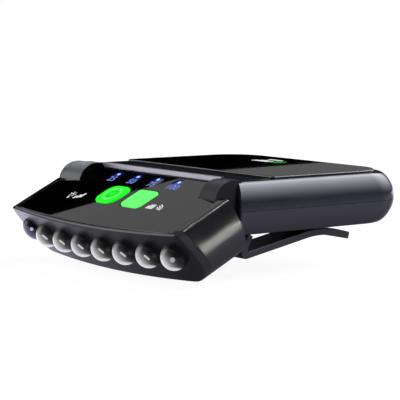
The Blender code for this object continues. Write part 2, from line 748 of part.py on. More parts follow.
def make_housing(pockets, recess):
    housing = place(
        "head_housing", head_block_mesh(0.0, HEAD_TOP, BROW_Y - 2, CHEEK_REAR), HEAD, "case_plastic")
    keep_inside(housing, behind_face("behind_bezel", BEZEL_THICKNESS + GAP))
    rear = box_mesh((-CHEEK_INNER, HEAD_REAR, -20), (CHEEK_INNER, 20, 20))
    heel = strip_mesh(HEEL_RELIEF, -CHEEK_INNER, CHEEK_INNER)
    cut(housing, tool("behind_head", rear, HEAD), tool("heel_relief", heel, HEAD), *pockets)
    join_tongue(housing)
    cavity = tool(
        "head_cavity", head_block_mesh(HEAD_WALL, HEAD_CAVITY_TOP, BROW_Y - 6, HEAD_CAVITY_REAR), HEAD)
    sole = box_mesh((-BIG, -BIG, -BIG), (BIG, BIG, HEAD_CAVITY_BOTTOM))
    cut(cavity, tool("head_sole", sole, HEAD))
    over_tongue = box_mesh(
        (-TONGUE_HALF_WIDTH - 0.2, -6.0, HEAD_DECK), (TONGUE_HALF_WIDTH + 0.2, 6, 6))
    cut(housing, cavity, recess,
        tool("over_tongue", over_tongue, HEAD), tool("board_window", box_mesh(*BOARD_WINDOW), HEAD),
        tool("button_well", box_mesh(*BUTTON_WELL), HEAD))
    for side, sign in (("right", 1), ("left", -1)):
        ends = sorted((sign * (SHAFT_INNER - GAP), sign * (TONGUE_HALF_WIDTH + 1)))
        bore = rod_mesh(SHAFT_RADIUS + GAP, *ends, "X")
        cut(housing, tool(f"tongue_bore_{side}", bore, HEAD))
    cut(housing, tool("head_wire_channel", box_mesh(*HEAD_WIRE_CHANNEL), HEAD))
    add_board_posts(housing)
    for i, x in enumerate(INDICATOR_X):
        well = rod_mesh(INDICATOR_RADIUS + GAP, 0.7, 4)
        cut(housing, tool(f"indicator_well_{i}", well, HEAD, at=(x, INDICATOR_Y, 0)))


def join_tongue(housing):
    """The barrel that turns between the case's knuckles, and the web that carries it."""
    barrel = rod_mesh(TONGUE_RADIUS, -TONGUE_HALF_WIDTH, TONGUE_HALF_WIDTH, "X", ROUND)
    half = TONGUE_HALF_WIDTH - 0.2
    front, rear, low, high = TONGUE_WEB
    web = box_mesh((-half, front, low), (half, rear, high))
    join(housing, tool("tongue_barrel", barrel, HEAD), tool("tongue_web", web, HEAD))


def add_board_posts(housing):
    for i, (x, y) in enumerate(BOARD_SCREW_SPOTS):
        join(housing, tool(f"board_post_{i}", rod_mesh(*BOARD_POST), HEAD, at=(x, y, 0)))
    for i, (x, y) in enumerate(BOARD_SCREW_SPOTS):
        hole = rod_mesh(*BOARD_HOLE, 0)
        cut(housing, tool(f"post_hole_{i}", hole, HEAD, at=(x, y, 0)))


def make_head_panel(pockets):
    panel = place("head_top_panel", plate_mesh(head_panel_outline(0.0), HEAD_PANEL_LOW, HEAD_TOP),
                  HEAD, "gloss_panel")
    cut(panel, *pockets)
    for name, button in (("power", POWER_BUTTON), ("sensor", SENSOR_BUTTON)):
        hole = plate_mesh(button_outline(button, GAP), HEAD_PANEL_LOW - 1, HEAD_TOP + 1)
        cut(panel, tool(f"{name}_button_hole", hole, HEAD))
    for i, x in enumerate(INDICATOR_X):
        hole = rod_mesh(INDICATOR_RADIUS + GAP, HEAD_PANEL_LOW - 1, HEAD_TOP + 1)
        cut(panel, tool(f"indicator_hole_{i}", hole, HEAD, at=(x, INDICATOR_Y, 0)))


def button_outline(button, grow):
    x, y, width, depth, corner = button
    half = depth / 2 + grow
    outline = rounded_rectangle(width / 2 + grow, -half, half, corner + grow, corner + grow, 4)
    return shifted(outline, x, y)


def make_button(name, button, finish):
    """A key cap with a lip that keeps it under the panel; its origin is its own middle."""
    x, y = button[:2]
    own = (0.0, 0.0) + button[2:]
    cap = plate_mesh(button_outline(own, 0.0), BUTTON_LIP_LOW, BUTTON_TOP, chamfer=0.12)
    key = place(name, cap, HEAD, finish, at=(x, y, 0))
    lip = plate_mesh(button_outline(own, BUTTON_LIP), BUTTON_LIP_LOW - 0.02, BUTTON_LIP_TOP)
    join(key, tool(f"{name}_lip", lip, HEAD, at=(x, y, 0)))


def make_face(recess):
    """The front bezel with its row of round holes, and what shines or looks through them."""
    bezel = place("front_bezel", head_block_mesh(0.0, HEAD_TOP, BROW_Y - 2, -10), HEAD,
                  "face_plastic")
    keep_inside(bezel, behind_face("behind_face", 0.0))
    cut(bezel, behind_face("behind_bezel_back", BEZEL_THICKNESS), recess)
    for i in range(DOME_COUNT):
        x = (i - (DOME_COUNT - 1) / 2) * DOME_PITCH
        yaw = math.degrees(math.asin(x / FACE_RADIUS))
        sag = face_sag(x)
        at = (x, sag - DOME_PROUD, -DOME_DROP - sag * math.tan(math.radians(FACE_TILT)))
        hole = tool(f"dome_hole_{i}", rod_mesh(DOME_RADIUS + GAP, -6, 4, sides=24), FACE, at=at,
                    turn=(90, 0, yaw))
        cut(bezel, hole)
        if i == 0:
            make_sensor(at, yaw)
            continue
        stem, shoulder, end = DOME_STEM
        tail = [(DOME_RADIUS, shoulder), (stem, shoulder), (stem, end), (0, end)]
        turned(f"led_lens_{i}", dome_profile(DOME_RADIUS) + tail, FACE, "clear_lens", at,
               (90, 0, yaw))
    half, front, thickness, low, high = LED_BOARD
    steps = 12
    xs = [-half + 2 * half * step / steps for step in range(steps + 1)]
    strip = [(x, face_sag(x) + front) for x in xs]
    strip += [(x, face_sag(x) + front + thickness) for x in reversed(xs)]
    place("led_board", plate_mesh(strip, low, high), FACE, "board_green")


def dome_profile(radius):
    """Half of a flattened dome, from its top to its rim."""
    points = []
    for step in range(DOME_STEPS + 1):
        angle = math.radians(90 - 90 * step / DOME_STEPS)
        height = radius * math.sin(angle) * DOME_BULGE / DOME_RADIUS
        points.append((radius * math.cos(angle) if step else 0, height))
    return points


def make_sensor(at, yaw):
    """The hand-wave sensor: a dark hollow lens over a small receiver."""
    thin = DOME_RADIUS - SENSOR_WALL
    rim = DOME_STEM[1]
    profile = dome_profile(DOME_RADIUS) + [(DOME_RADIUS, rim), (thin, rim)]
    profile += dome_profile(thin)[::-1]
    turned("sensor_lens", profile, FACE, "sensor_lens", at, (90, 0, yaw))
    module = box_mesh(*SENSOR_MODULE)
    place("sensor_module", module, FACE, "component_black", at, (90, 0, yaw))


def make_head_fittings():
    board = place("control_board", centred_box_mesh(CONTROL_BOARD), HEAD, "board_green",
                  at=CONTROL_BOARD_AT)
    for i, (x, y) in enumerate(BOARD_SCREW_SPOTS):
        hole = rod_mesh(BOARD_HOLE[0], -3, 0)
        cut(board, tool(f"board_hole_{i}", hole, HEAD, at=(x, y, 0)))
        make_screw(f"board_screw_{i + 1}", HEAD, (x, y, 0), BOARD_SCREW, BOARD_SCREW_SHANK, -1)
    board_top = CONTROL_BOARD_AT[2] + CONTROL_BOARD[2] / 2
    for name, button in (("power", POWER_BUTTON), ("sensor", SENSOR_BUTTON)):
        at = (button[0], SWITCH_Y, board_top + GAP + SWITCH[2] / 2)
        place(f"{name}_switch", centred_box_mesh(SWITCH), HEAD, "component_black", at=at)
    for i, x in enumerate(INDICATOR_X):
        light = rod_mesh(INDICATOR_RADIUS, 1.0, HEAD_TOP - 0.02, sides=12)
        place(f"indicator_light_{i + 1}", light, HEAD, "blue_light", at=(x, INDICATOR_Y, 0))
    for side, sign in (("right", 1), ("left", -1)):
        ends = sorted((sign * SHAFT_INNER, sign * SHAFT_OUTER))
        shaft = place(f"hinge_shaft_{side}", rod_mesh(SHAFT_RADIUS, *ends, "X"), HEAD, "steel")
        bore = rod_mesh(SHAFT_BORE, ends[0] - 1, ends[1] + 1, "X", 16)
        cut(shaft, tool(f"shaft_bore_{side}", bore, HEAD))
    place("wire_harness_head", wire_mesh(HEAD_WIRE_PATH), HEAD, "wire_red")


clear_scene()
PARTS = make_group("cap_light")
CUTTERS = make_group("cutters")
CASE = make_frame("case_frame", (0, -SEAT_TO_FRONT, 0))
HEAD = make_frame("head_tilt_axis", (0, HINGE_Y, HINGE_Z), REST_TILT, CASE)
FACE = make_frame("face_frame", (0, BROW_Y, HEAD_TOP), FACE_TILT, HEAD)

clip_slots = make_clip()
case_shapes = case_tools()
make_top_shell(case_shapes)
make_bottom_shell(case_shapes, clip_slots)
make_case_fittings()
head_pockets = knuckle_pockets()
head_recess = panel_recess()
make_housing(head_pockets, head_recess)
make_head_panel(head_pockets)
make_face(head_recess)
make_button("power_button", POWER_BUTTON, "green_key")
make_button("sensor_button", SENSOR_BUTTON, "light_green_key")
make_head_fittings()
bpy.context.view_layer.update()
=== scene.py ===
"""Looks of a clip-on cap light: smooth shells, lamps, keys, marks and finishes over its plain solids.

Shapes are in millimetres, in the frame of the case, of the tilting head or of its face. CASE, HEAD and
FACE place them in the model's own frame, where the head is nose-down at rest.
"""

import json
import math

import bmesh
import bpy
from mathutils import Matrix, Vector


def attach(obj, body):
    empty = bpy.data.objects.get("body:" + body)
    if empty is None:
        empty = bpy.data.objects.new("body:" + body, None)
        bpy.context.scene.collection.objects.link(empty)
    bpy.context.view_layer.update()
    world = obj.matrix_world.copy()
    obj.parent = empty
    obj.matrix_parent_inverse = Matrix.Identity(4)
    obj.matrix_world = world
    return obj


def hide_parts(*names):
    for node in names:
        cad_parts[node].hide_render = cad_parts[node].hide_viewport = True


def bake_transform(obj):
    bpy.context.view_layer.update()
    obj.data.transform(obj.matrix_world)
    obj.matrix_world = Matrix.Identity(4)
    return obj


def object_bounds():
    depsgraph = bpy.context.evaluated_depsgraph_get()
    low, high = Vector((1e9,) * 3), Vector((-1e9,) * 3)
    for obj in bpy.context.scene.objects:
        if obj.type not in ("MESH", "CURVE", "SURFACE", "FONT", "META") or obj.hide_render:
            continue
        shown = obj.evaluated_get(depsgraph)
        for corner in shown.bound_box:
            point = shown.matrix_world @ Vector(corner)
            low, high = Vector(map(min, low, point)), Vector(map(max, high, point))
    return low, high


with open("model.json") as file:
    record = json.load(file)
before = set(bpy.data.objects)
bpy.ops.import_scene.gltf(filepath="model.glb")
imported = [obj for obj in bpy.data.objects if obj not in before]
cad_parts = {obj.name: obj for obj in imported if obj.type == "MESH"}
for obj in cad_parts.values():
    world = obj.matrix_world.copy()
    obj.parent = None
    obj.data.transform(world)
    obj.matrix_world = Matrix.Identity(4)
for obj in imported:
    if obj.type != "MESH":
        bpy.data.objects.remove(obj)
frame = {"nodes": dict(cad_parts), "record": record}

CAD_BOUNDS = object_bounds()
SCENE = bpy.context.scene
MM = 0.001
JOINTS = {joint["name"]: joint for joint in frame["record"]["behaviour"]["joints"]}
FAR = 90.0  # past every side of the object
OVER = 2.0  # how far a cutter passes the face that it opens
GAP = 0.3  # between moving pieces
FIT = 0.12  # round a piece that is let into another
WELD = 0.0005  # verts closer than this are one

# Hinge between case and head, in the case's frame: its front wall is at Y 0, its underside at Z 0.
# Right is 1 and left is -1.
HINGE_Y = -1.0
HINGE_Z = 7.0
KNUCKLE_RADIUS = 4.9
KNUCKLE_INNER = 22.6
KNUCKLE_OUTER = {1: 28.0, -1: 32.4}
KNUCKLE_ROUNDING = {1: 0.02, -1: 2.0}
KNUCKLE_OVERLAP = 0.1  # how far a knuckle starts inside the trough, which trims it
SHOULDER = (27.9, 2.6, 11.85)  # block behind each knuckle: outer X, low and high
SHOULDER_REAR = 0.9
TONGUE_RADIUS = 3.85
TONGUE_HALF_WIDTH = 22.0

# Battery case
CASE_HEIGHT = 11.5
CASE_HALF_WIDTH = 27.7
SIDE_BULGE = 1.3
CASE_LENGTH = 47.2
REAR_BULGE = 3.9
REAR_CORNER = 9.5
FRONT_CORNER = 0.55
BULGE_POWER = 0.6
CASE_RINGS = 26
CORNER_STEPS = 18
EDGE_FILLET = 0.35
WALL = 1.5
FLOOR = 1.4
CAVITY_TOP = 9.4
CAVITY_FRONT = 4.9
CAVITY_CORNER = 0.5
CAVITY_RINGS = 12
PARTING = 5.14
SEAM = 0.07  # width of the visible joint between shells
PANEL = (26.8, 10.9, 46.2, 0.8, 8.8)  # half width, front, rear, front corner, rear corner
PANEL_LOW = 11.0
PANEL_TOP = 12.0
PANEL_FILLET = 0.22
DECK = (25.5, 1.75, 10.5, 0.6)  # half width, front, rear and corner of the sunk strip
DECK_Z = CASE_HEIGHT - 0.35
DECK_THICKNESS = 0.13
TRIM = (22.3, 0.35, 1.3, 10.95, 12.05)  # half width, front, rear, low, top
TRIM_SLANT = 1.1
TRIM_FILLET = 0.12
PORT = (4.3, 2.0, 1.4)  # half width, half height and corner of the charging opening
PORT_Z = 5.9
PORT_REACH = (44.0, 60.0)
SEAT_FACE = (17.4, 8.6, 24.2, 3.0)  # half width, front, rear and corner of the brim's seat
SEAT_GROOVE = (0.8, 0.3)  # width and depth of the groove round it
SCREW_SPOTS = ((-23.0, 9.0), (23.0, 9.0), (-23.2, 40.0), (23.2, 40.0))
SINK_RADIUS = 2.2
SINK_TOP = 1.5

# Lamp head, about the hinge axis: Y to the rear, Z square to the glossy panel
HEAD_TOP = 3.17
HEAD_BOTTOM = -10.4
BROW_Y = -20.55
BROW_HALF_WIDTH = 30.7
FACE_RADIUS = 225.0
FACE_TILT = 15.6
CHEEK_WIDEST = 32.6
CHEEK_MIDDLE = -4.0
CHEEK_CORNER = 6.1
CHEEK_REAR = -3.0
CHEEK_INNER = 29.05
CHEEK_STEPS = 20
HEAD_WALL = 1.7
HEAD_REAR = -5.4
HEAD_DECK = 1.9
HEAD_CAVITY = (1.0, -7.0, -7.3)  # top, rear and bottom
BEZEL_THICKNESS = 2.0
BEZEL_SEAM = 0.06
BROW_FILLET = 1.15
FACE_FILLET = 0.3
FACE_FILLET_STEPS = 6
FACE_COLUMNS = 40
HEEL_RELIEF = ((-10.2, -10.7), (-8.2, -9.2), (-6.6, -8.6), (-5.6, -7.6), (-5.4, -6.2), (-2, -6.2),
               (-2, -12), (-10.2, -12))
WEB_HALF_WIDTH = TONGUE_HALF_WIDTH - 0.2
WEB = (HEAD_REAR - 0.5, -0.5, -2.2, 1.8)  # front, rear, low and high of the web that holds the tongue
KEY_WELL = ((-9.4, -13.0, 0.0), (10.9, -2.9, HEAD_DECK + 1))
PANEL_FRONT_Y = -19.25
PANEL_FRONT_RADIUS = 274.0
PANEL_FRONT_STEPS = 32
HEAD_PANEL_LOW = 2.2
HEAD_PANEL_SIDE = 29.6
NOTCH_OUTER = (29.3, -5.34)
NOTCH_INNER = (23.4, -4.02)
TONGUE_END = (21.9, 2.15)

# Domes, keys and indicator lights
DOME_PITCH = 7.7
DOME_COUNT = 8  # the first, at the left, is the sensor's
DOME_RADIUS = 2.9
DOME_DEPTH = 2.3
SENSOR_BULGE = 2.0
LAMP_BULGE = 2.9
DOME_DROP = 6.05
DOME_PROUD = 0.3
GLINT_LEAN = (1.1, 0.40, 0.32)  # lean of a glint off its dome's axis: to the viewer, up and right
GLINT_SLANT = -39.0
POWER_BUTTON = (-4.1, -7.6, 8.0, 7.3, 2.6)  # X, Y, width, depth, corner
SENSOR_BUTTON = (6.0, -7.6, 7.4, 7.2, 1.3)
POWER_INSET = 0.22
SENSOR_INSET = 0.34
BUTTON_LOW = 0.8
BUTTON_TOP = 3.42
BUTTON_FILLET = 0.2
BUTTON_GAP = 0.15
INDICATORS = (("25", -12.05), ("50", -4.5), ("75", 3.06), ("100", 10.68))  # mark and X
INDICATOR_Y = 0.5
INDICATOR_RADIUS = 0.6
HALO_RADII = (0.42, 0.7, 0.95, 1.2, 1.5, 1.75, 2.0)
HALO_GLOW = (0.42, 0.24, 0.13, 0.07, 0.03, 0.01)
PRINT = 0.04  # thickness of a printed mark

# Brim clip, in the case's frame seen from the side
CLIP_THICKNESS = 1.6
CLIP_HALF_WIDTH = 26.0
CLIP_ELBOW = (3.3, -4.95)
CLIP_ELBOW_RADIUS = 0.95
CLIP_LEG_HEADING = 62.3
CLIP_LEG_LENGTH = 5.25
CLIP_LEG_STEPS = 4
CLIP_ARM_HEADING = 10.6
CLIP_ARM_LENGTH = 18.9
CLIP_ARM_STEPS = 8
CLIP_BEND = -24.0
CLIP_BEND_LENGTH = 9.5
CLIP_BEND_STEPS = 12
CLIP_LIP_LENGTH = 3.4
CLIP_WINDOW = (18.6, 7.2, 24.6, 3.0)  # half width, front, rear, corner
CLIP_FILLET = 0.3

# Camera, in metres: its place, the way back from the object to it, and its right before the roll
CAMERA_AT = (0.2805, -0.2239, 0.0433)
CAMERA_BACK = Vector((0.7807, -0.6155, 0.1082)).normalized()
CAMERA_RIGHT = Vector((0.6191, 0.7853, 0.0)).normalized()
CAMERA_ROLL = 0.58
CAMERA_LENS = 141.43

TILT_AT = Vector(JOINTS["head_tilt"]["pos_m"])
REST_TILT = -JOINTS["head_tilt"]["range_deg"][0]
SCALE = Matrix.Scale(MM, 4)
CASE = Matrix.Translation(TILT_AT - Vector((0, HINGE_Y, HINGE_Z)) * MM) @ SCALE
HEAD = Matrix.Translation(TILT_AT) @ Matrix.Rotation(math.radians(REST_TILT), 4, "X") @ SCALE
FACE = (HEAD @ Matrix.Translation((0, BROW_Y, HEAD_TOP))
        @ Matrix.Rotation(math.radians(FACE_TILT), 4, "X"))
PLACES = {"case": CASE, "head": HEAD, "power_key": HEAD, "sensor_key": HEAD}
UPRIGHT = Matrix(((1, 0, 0, 0), (0, 0, 1, 0), (0, 1, 0, 0), (0, 0, 0, 1)))  # swaps Y and Z
SIDEWAYS = Matrix(((0, 0, 1, 0), (1, 0, 0, 0), (0, 1, 0, 0), (0, 0, 0, 1)))  # X and Y become Y and Z


# ------------ mesh helpers

def add_object(name, data):
    thing = bpy.data.objects.new(name, data)
    SCENE.collection.objects.link(thing)
    return thing


def finish_form(form):
    bmesh.ops.recalc_face_normals(form, faces=form.faces)
    mesh = bpy.data.meshes.new("shape")
    form.to_mesh(mesh)
    form.free()
    return mesh


def box_mesh(low, high):
    low, high = Vector(low), Vector(high)
    form = bmesh.new()
    bmesh.ops.create_cube(form, size=1.0)
    bmesh.ops.scale(form, verts=form.verts, vec=high - low)
    bmesh.ops.translate(form, verts=form.verts, vec=(low + high) / 2)
    return finish_form(form)


def below(z):
    return box_mesh((-FAR, -FAR, -FAR), (FAR, FAR, z))


def above(z):
    return box_mesh((-FAR, -FAR, z), (FAR, FAR, FAR))


def rod_mesh(radius, low, high, along="Z", sides=64, at=(0, 0, 0)):
    form = bmesh.new()
    bmesh.ops.create_cone(
        form, cap_ends=True, segments=sides, radius1=radius, radius2=radius, depth=high - low)
    bmesh.ops.translate(form, verts=form.verts, vec=(0, 0, (low + high) / 2))
    if along == "X":
        bmesh.ops.rotate(form, verts=form.verts, matrix=Matrix.Rotation(math.pi / 2, 3, "Y"))
    bmesh.ops.translate(form, verts=form.verts, vec=at)
    return finish_form(form)


def add_walls(form, rings):
    """Faces between each ring of points and the next; gives the rings' verts."""
    loops = [[form.verts.new(point) for point in ring] for ring in rings]
    for lower, upper in zip(loops, loops[1:]):
        for i in range(len(lower)):
            j = (i + 1) % len(lower)
            form.faces.new((lower[i], lower[j], upper[j], upper[i]))
    return loops


def loft_mesh(rings):
    form = bmesh.new()
    loops = add_walls(form, rings)
    form.faces.new(loops[0])
    form.faces.new(loops[-1])
    return finish_form(form)


def prism_mesh(outline, low, high, fillet=0.0, steps=3):
    """An outline in XY thickened from low to high, with rounded rims."""
    if not fillet:
        return loft_mesh([[(x, y, z) for x, y in outline] for z in (low, high)])
    rising = rim_rings(outline, low, fillet, steps, 1)
    return loft_mesh(rising + rim_rings(outline, high, fillet, steps, -1)[::-1])


def quarter_turn(steps):
    return [math.pi / 2 * step / steps for step in range(steps + 1)]


def rim_rings(outline, z, fillet, steps, up):
    rings = []
    for angle in quarter_turn(steps):
        inset = fillet * (1 - math.sin(angle))
        rise = fillet * (1 - math.cos(angle))
        rings.append([(x, y, z + up * rise) for x, y in inset_outline(outline, inset)])
    return rings


def inset_outline(outline, inset):
    """A counter-clockwise outline moved inwards, each corner along its own bisector."""
    if not inset:
        return list(outline)
    moved_in = []
    for i, point in enumerate(outline):
        before = (Vector(point) - Vector(outline[i - 1])).normalized()
        after = (Vector(outline[(i + 1) % len(outline)]) - Vector(point)).normalized()
        normal = Vector((-(before.y + after.y), before.x + after.x)).normalized()
        share = max(0.4, normal.dot(Vector((-before.y, before.x))))
        moved_in.append(tuple(Vector(point) + normal * (inset / share)))
    return moved_in


def walk(start, heading, length):
    angle = math.radians(heading)
    return (start[0] + length * math.cos(angle), start[1] + length * math.sin(angle))


def rounded_rectangle(half_x, front, rear, front_corner, rear_corner, steps=CORNER_STEPS):
    corners = (
        (half_x, front, front_corner, -90), (half_x, rear, rear_corner, 0),
        (-half_x, rear, rear_corner, 90), (-half_x, front, front_corner, 180))
    points = []
    for x, y, radius, start in corners:
        centre = (x - math.copysign(radius, x), y + radius if y == front else y - radius)
        points += [walk(centre, start + 90 * step / steps, radius) for step in range(steps + 1)]
    return points


def slab_mesh(size, low, high, steps=8, grow=0.0, fillet=0.0):
    """A flat block with round corners, from its half width, front, rear and corner radius."""
    half, front, rear, corner = size
    outline = rounded_rectangle(half + grow, front - grow, rear + grow, corner + grow, corner + grow, steps)
    return prism_mesh(outline, low, high, fillet, 2)


def side_prism(profile, low, high, fillet=0.0):
    """A side profile in Y and Z, thickened along X."""
    return moved(prism_mesh(profile, low, high, fillet), SIDEWAYS)


def carve(mesh, operation, *shapes):
    """The mesh after a Boolean step with each shape."""
    body = add_object("carved", mesh)
    tools = [add_object("tool", shape) for shape in shapes]
    for tool in tools:
        step = body.modifiers.new("step", "BOOLEAN")
        step.operation = operation
        step.object = tool
        step.solver = "EXACT"
    return baked(body, *tools)


def baked(thing, *helpers):
    """The mesh of an object as its modifiers leave it; the object and its helpers are removed."""
    bpy.context.view_layer.update()
    graph = bpy.context.evaluated_depsgraph_get()
    mesh = bpy.data.meshes.new_from_object(thing.evaluated_get(graph))
    for used in (thing, *helpers):
        bpy.data.objects.remove(used)
    return mesh


def cut(mesh, *shapes):
    return carve(mesh, "DIFFERENCE", *shapes)


def join(mesh, *shapes):
    return carve(mesh, "UNION", *shapes)


def turned_mesh(profile, steps=48):
    """A turned shape about Z from radius and height pairs, from its top to the middle of its end."""
    form = bmesh.new()
    verts = [form.verts.new((radius, 0, height)) for radius, height in profile]
    edges = [form.edges.new(pair) for pair in zip(verts, verts[1:])]
    bmesh.ops.spin(
        form, geom=verts + edges, cent=(0, 0, 0), axis=(0, 0, 1), angle=2 * math.pi, steps=steps,
        use_merge=True)
    bmesh.ops.remove_doubles(form, verts=form.verts, dist=WELD)
    return finish_form(form)


def welded(curve):
    """The closed mesh of a curve or text."""
    mesh = baked(add_object("guide", curve))
    form = bmesh.new()
    form.from_mesh(mesh)
    bmesh.ops.remove_doubles(form, verts=form.verts, dist=WELD)
    form.to_mesh(mesh)
    form.free()
    return mesh


def stroke_mesh(path, radius, closed=False, flat=0.3):
    """A thin raised line along a path, lower than it is wide."""
    curve = bpy.data.curves.new("stroke", "CURVE")
    curve.dimensions = "3D"
    curve.bevel_depth = radius
    curve.bevel_resolution = 2
    curve.use_fill_caps = not closed
    spline = curve.splines.new("POLY")
    spline.points.add(len(path) - 1)
    for point, (x, y) in zip(spline.points, path):
        point.co = (x, y, 0, 1)
    spline.use_cyclic_u = closed
    return moved(welded(curve), Matrix.Diagonal((1, 1, flat, 1)))


def text_mesh(words, size, depth):
    curve = bpy.data.curves.new("words", "FONT")
    curve.body = words
    curve.size = size
    curve.extrude = depth / 2
    curve.align_x = curve.align_y = "CENTER"
    return welded(curve)


def merged(*meshes):
    form = bmesh.new()
    for mesh in meshes:
        form.from_mesh(mesh)
    result = bpy.data.meshes.new("merged")
    form.to_mesh(result)
    form.free()
    return result


def moved(mesh, *matrices):
    for matrix in matrices:
        mesh.transform(matrix)
        if matrix.determinant() < 0:
            mesh.flip_normals()
    return mesh


def at(x, y, z):
    return Matrix.Translation((x, y, z))


def axes_at(x_axis, y_axis, z_axis, origin):
    """The frame with these axes at a place."""
    return Matrix((*zip(x_axis, y_axis, z_axis, origin), (0, 0, 0, 1)))


def piece(name, mesh, body, looks, stands_for=(), sharp=35, place=None):
    """A finished piece: a mesh in millimetres, in its body's frame or at a place, rides on the body."""
    mesh.transform(place or PLACES[body])
    mesh.name = name
    thing = add_object(name, mesh)
    for look in (looks,) if isinstance(looks, str) else looks:
        mesh.materials.append(LOOKS[look])
    mesh.shade_smooth()
    mesh.set_sharp_from_angle(angle=math.radians(sharp))
    thing.modifiers.new("normals", "WEIGHTED_NORMAL").keep_sharp = True
    if body:
        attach(thing, body)
    if stands_for:
        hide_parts(*stands_for)
    return thing


# ------------ materials

def new_material(name):
    material = bpy.data.materials.new(name)
    material.use_nodes = True
    tree = material.node_tree
    return material, tree, tree.nodes["Principled BSDF"]


def feed(tree, socket, value):
    """Links or sets a node's input."""
    if isinstance(value, bpy.types.NodeSocket):
        tree.links.new(value, socket)
    else:
        socket.default_value = value


def set_inputs(tree, made, **inputs):
    for name, value in inputs.items():
        feed(tree, made.inputs[name.replace("_", " ")], value)


def node(tree, kind, **inputs):
    made = tree.nodes.new(kind)
    set_inputs(tree, made, **inputs)
    return made


def position(tree):
    return tree.nodes.new("ShaderNodeTexCoord").outputs["Object"]


def noise(tree, scale, detail=4.0, stretch=(1, 1, 1)):
    """Noise over the piece's own millimetres; stretch lengthens its grain along an axis."""
    mapping = node(tree, "ShaderNodeMapping", Vector=position(tree), Scale=stretch)
    made = node(tree, "ShaderNodeTexNoise", Vector=mapping.outputs["Vector"], Scale=scale / MM,
                Detail=detail, Roughness=0.55)
    return made.outputs["Fac"]


def remap(tree, value, low, high, to_low, to_high):
    made = node(tree, "ShaderNodeMapRange", Value=value, From_Min=low, From_Max=high, To_Min=to_low,
                To_Max=to_high)
    return made.outputs["Result"]


def blend_colors(tree, factor, first, second):
    made = tree.nodes.new("ShaderNodeMix")
    made.data_type = "RGBA"
    feed(tree, made.inputs[0], factor)
    for socket, color in ((made.inputs[6], first), (made.inputs[7], second)):
        feed(tree, socket, color if isinstance(color, bpy.types.NodeSocket) else (*color, 1.0))
    return made.outputs[2]


def dot(tree, vector, axis):
    made = tree.nodes.new("ShaderNodeVectorMath")
    made.operation = "DOT_PRODUCT"
    feed(tree, made.inputs[0], vector)
    feed(tree, made.inputs[1], axis)
    return made.outputs["Value"]


def math_node(tree, operation, first, second):
    made = tree.nodes.new("ShaderNodeMath")
    made.operation = operation
    feed(tree, made.inputs[0], first)
    feed(tree, made.inputs[1], second)
    return made.outputs[0]


def product(tree, first, *others):
    for other in others:
        first = math_node(tree, "MULTIPLY", first, other)
    return first


def add_bump(tree, shader, height, strength, distance=0.02):
    bump = node(tree, "ShaderNodeBump", Strength=strength, Distance=distance * MM, Height=height)
    tree.links.new(bump.outputs["Normal"], shader.inputs["Normal"])


def plastic(name, color, worn, rough, grain=0.35, bump=0.05, metallic=0.0, ior=1.5, stretch=(1, 1, 1),
            uneven=0.05):
    """A moulded or metal finish: mottled colour, uneven gloss, fine grain and faint rubbed spots."""
    material, tree, shader = new_material(name)
    tint = blend_colors(tree, noise(tree, 0.25), [c * 0.92 for c in color], [c * 1.08 for c in color])
    wear = remap(tree, noise(tree, 0.5, 8), 0.60, 0.80, 0.0, 0.35)
    smudge = remap(tree, noise(tree, 0.12, 6), 0.3, 0.7, max(rough - uneven, 0.02), rough + uneven)
    set_inputs(tree, shader, Base_Color=blend_colors(tree, wear, tint, worn), Roughness=smudge,
               Metallic=metallic, IOR=ior)
    add_bump(tree, shader, noise(tree, 1 / grain, 3, stretch), bump)
    return material


def glow(name, color, strength):
    """A lit or printed finish, or a painted highlight such as the glints on the domes, a little uneven in
    colour and strength.
    """
    material, tree, shader = new_material(name)
    uneven = remap(tree, noise(tree, 0.5), 0.3, 0.7, 0.92, 1.06)
    tint = blend_colors(tree, noise(tree, 0.3), [c * 0.94 for c in color], color)
    set_inputs(tree, shader, Base_Color=(*color, 1.0), Roughness=0.35, Emission_Color=tint,
               Emission_Strength=product(tree, uneven, strength))
    add_bump(tree, shader, noise(tree, 4.0), 0.04)
    return material


# Directions on a dome for its painted shade and painted reflection: from its shadow side to its bright side,
# and towards the painted crescent under it
LENS_PAINTED_SHADE_AXIS = Vector((-0.45, -0.62, -0.64)).normalized()
LENS_CRESCENT_PAINT_AXIS = Vector((0.15, -0.20, -0.97)).normalized()
LENS_PAINTED_SHADES = ((0.42, 0.004), (0.54, 0.025), (0.64, 0.09), (0.75, 0.26), (0.86, 0.56), (0.94, 0.80))
LENS_PAINTED_CRESCENT_BRIGHTNESS = 0.78


def lens(name, tone):
    """A dome over a silver cup, its look painted in as glow: a painted reflection bright towards one lower
    side, painted shade dark towards the other.
    """
    material, tree, shader = new_material(name)
    normal = tree.nodes.new("ShaderNodeTexCoord").outputs["Normal"]
    ramp = node(tree, "ShaderNodeValToRGB", Fac=remap(tree, dot(tree, normal, LENS_PAINTED_SHADE_AXIS), -1, 1, 0, 1))
    elements = ramp.color_ramp.elements
    while len(elements) < len(LENS_PAINTED_SHADES):
        elements.new(0.5)
    for element, (place, value) in zip(elements, LENS_PAINTED_SHADES):
        element.position = place
        element.color = (*[value * part for part in tone], 1.0)
    # The bright crescent under the dome is a painted reflection.
    crescent = remap(tree, dot(tree, normal, LENS_CRESCENT_PAINT_AXIS), 0.78, 0.92, 0.0, 0.9)
    bright = [LENS_PAINTED_CRESCENT_BRIGHTNESS * part for part in tone]
    set_inputs(tree, shader, Base_Color=(0.01, 0.01, 0.012, 1.0), Roughness=0.06, Emission_Strength=0.9,
               Emission_Color=blend_colors(tree, crescent, ramp.outputs["Color"], bright))
    add_bump(tree, shader, noise(tree, 0.8), 0.02, 0.03)
    return material


def halo(name, strength):
    """Light spilled on the glossy panel round a lamp."""
    color, worn, rough, options = PLASTICS["gloss_black"]
    material = plastic(name, color, worn, rough, **options)
    tree = material.node_tree
    tint = blend_colors(tree, noise(tree, 1.5), (0.03, 0.10, 0.8), (0.05, 0.16, 1.0))
    set_inputs(tree, tree.nodes["Principled BSDF"], Emission_Color=tint, Emission_Strength=strength)
    return material


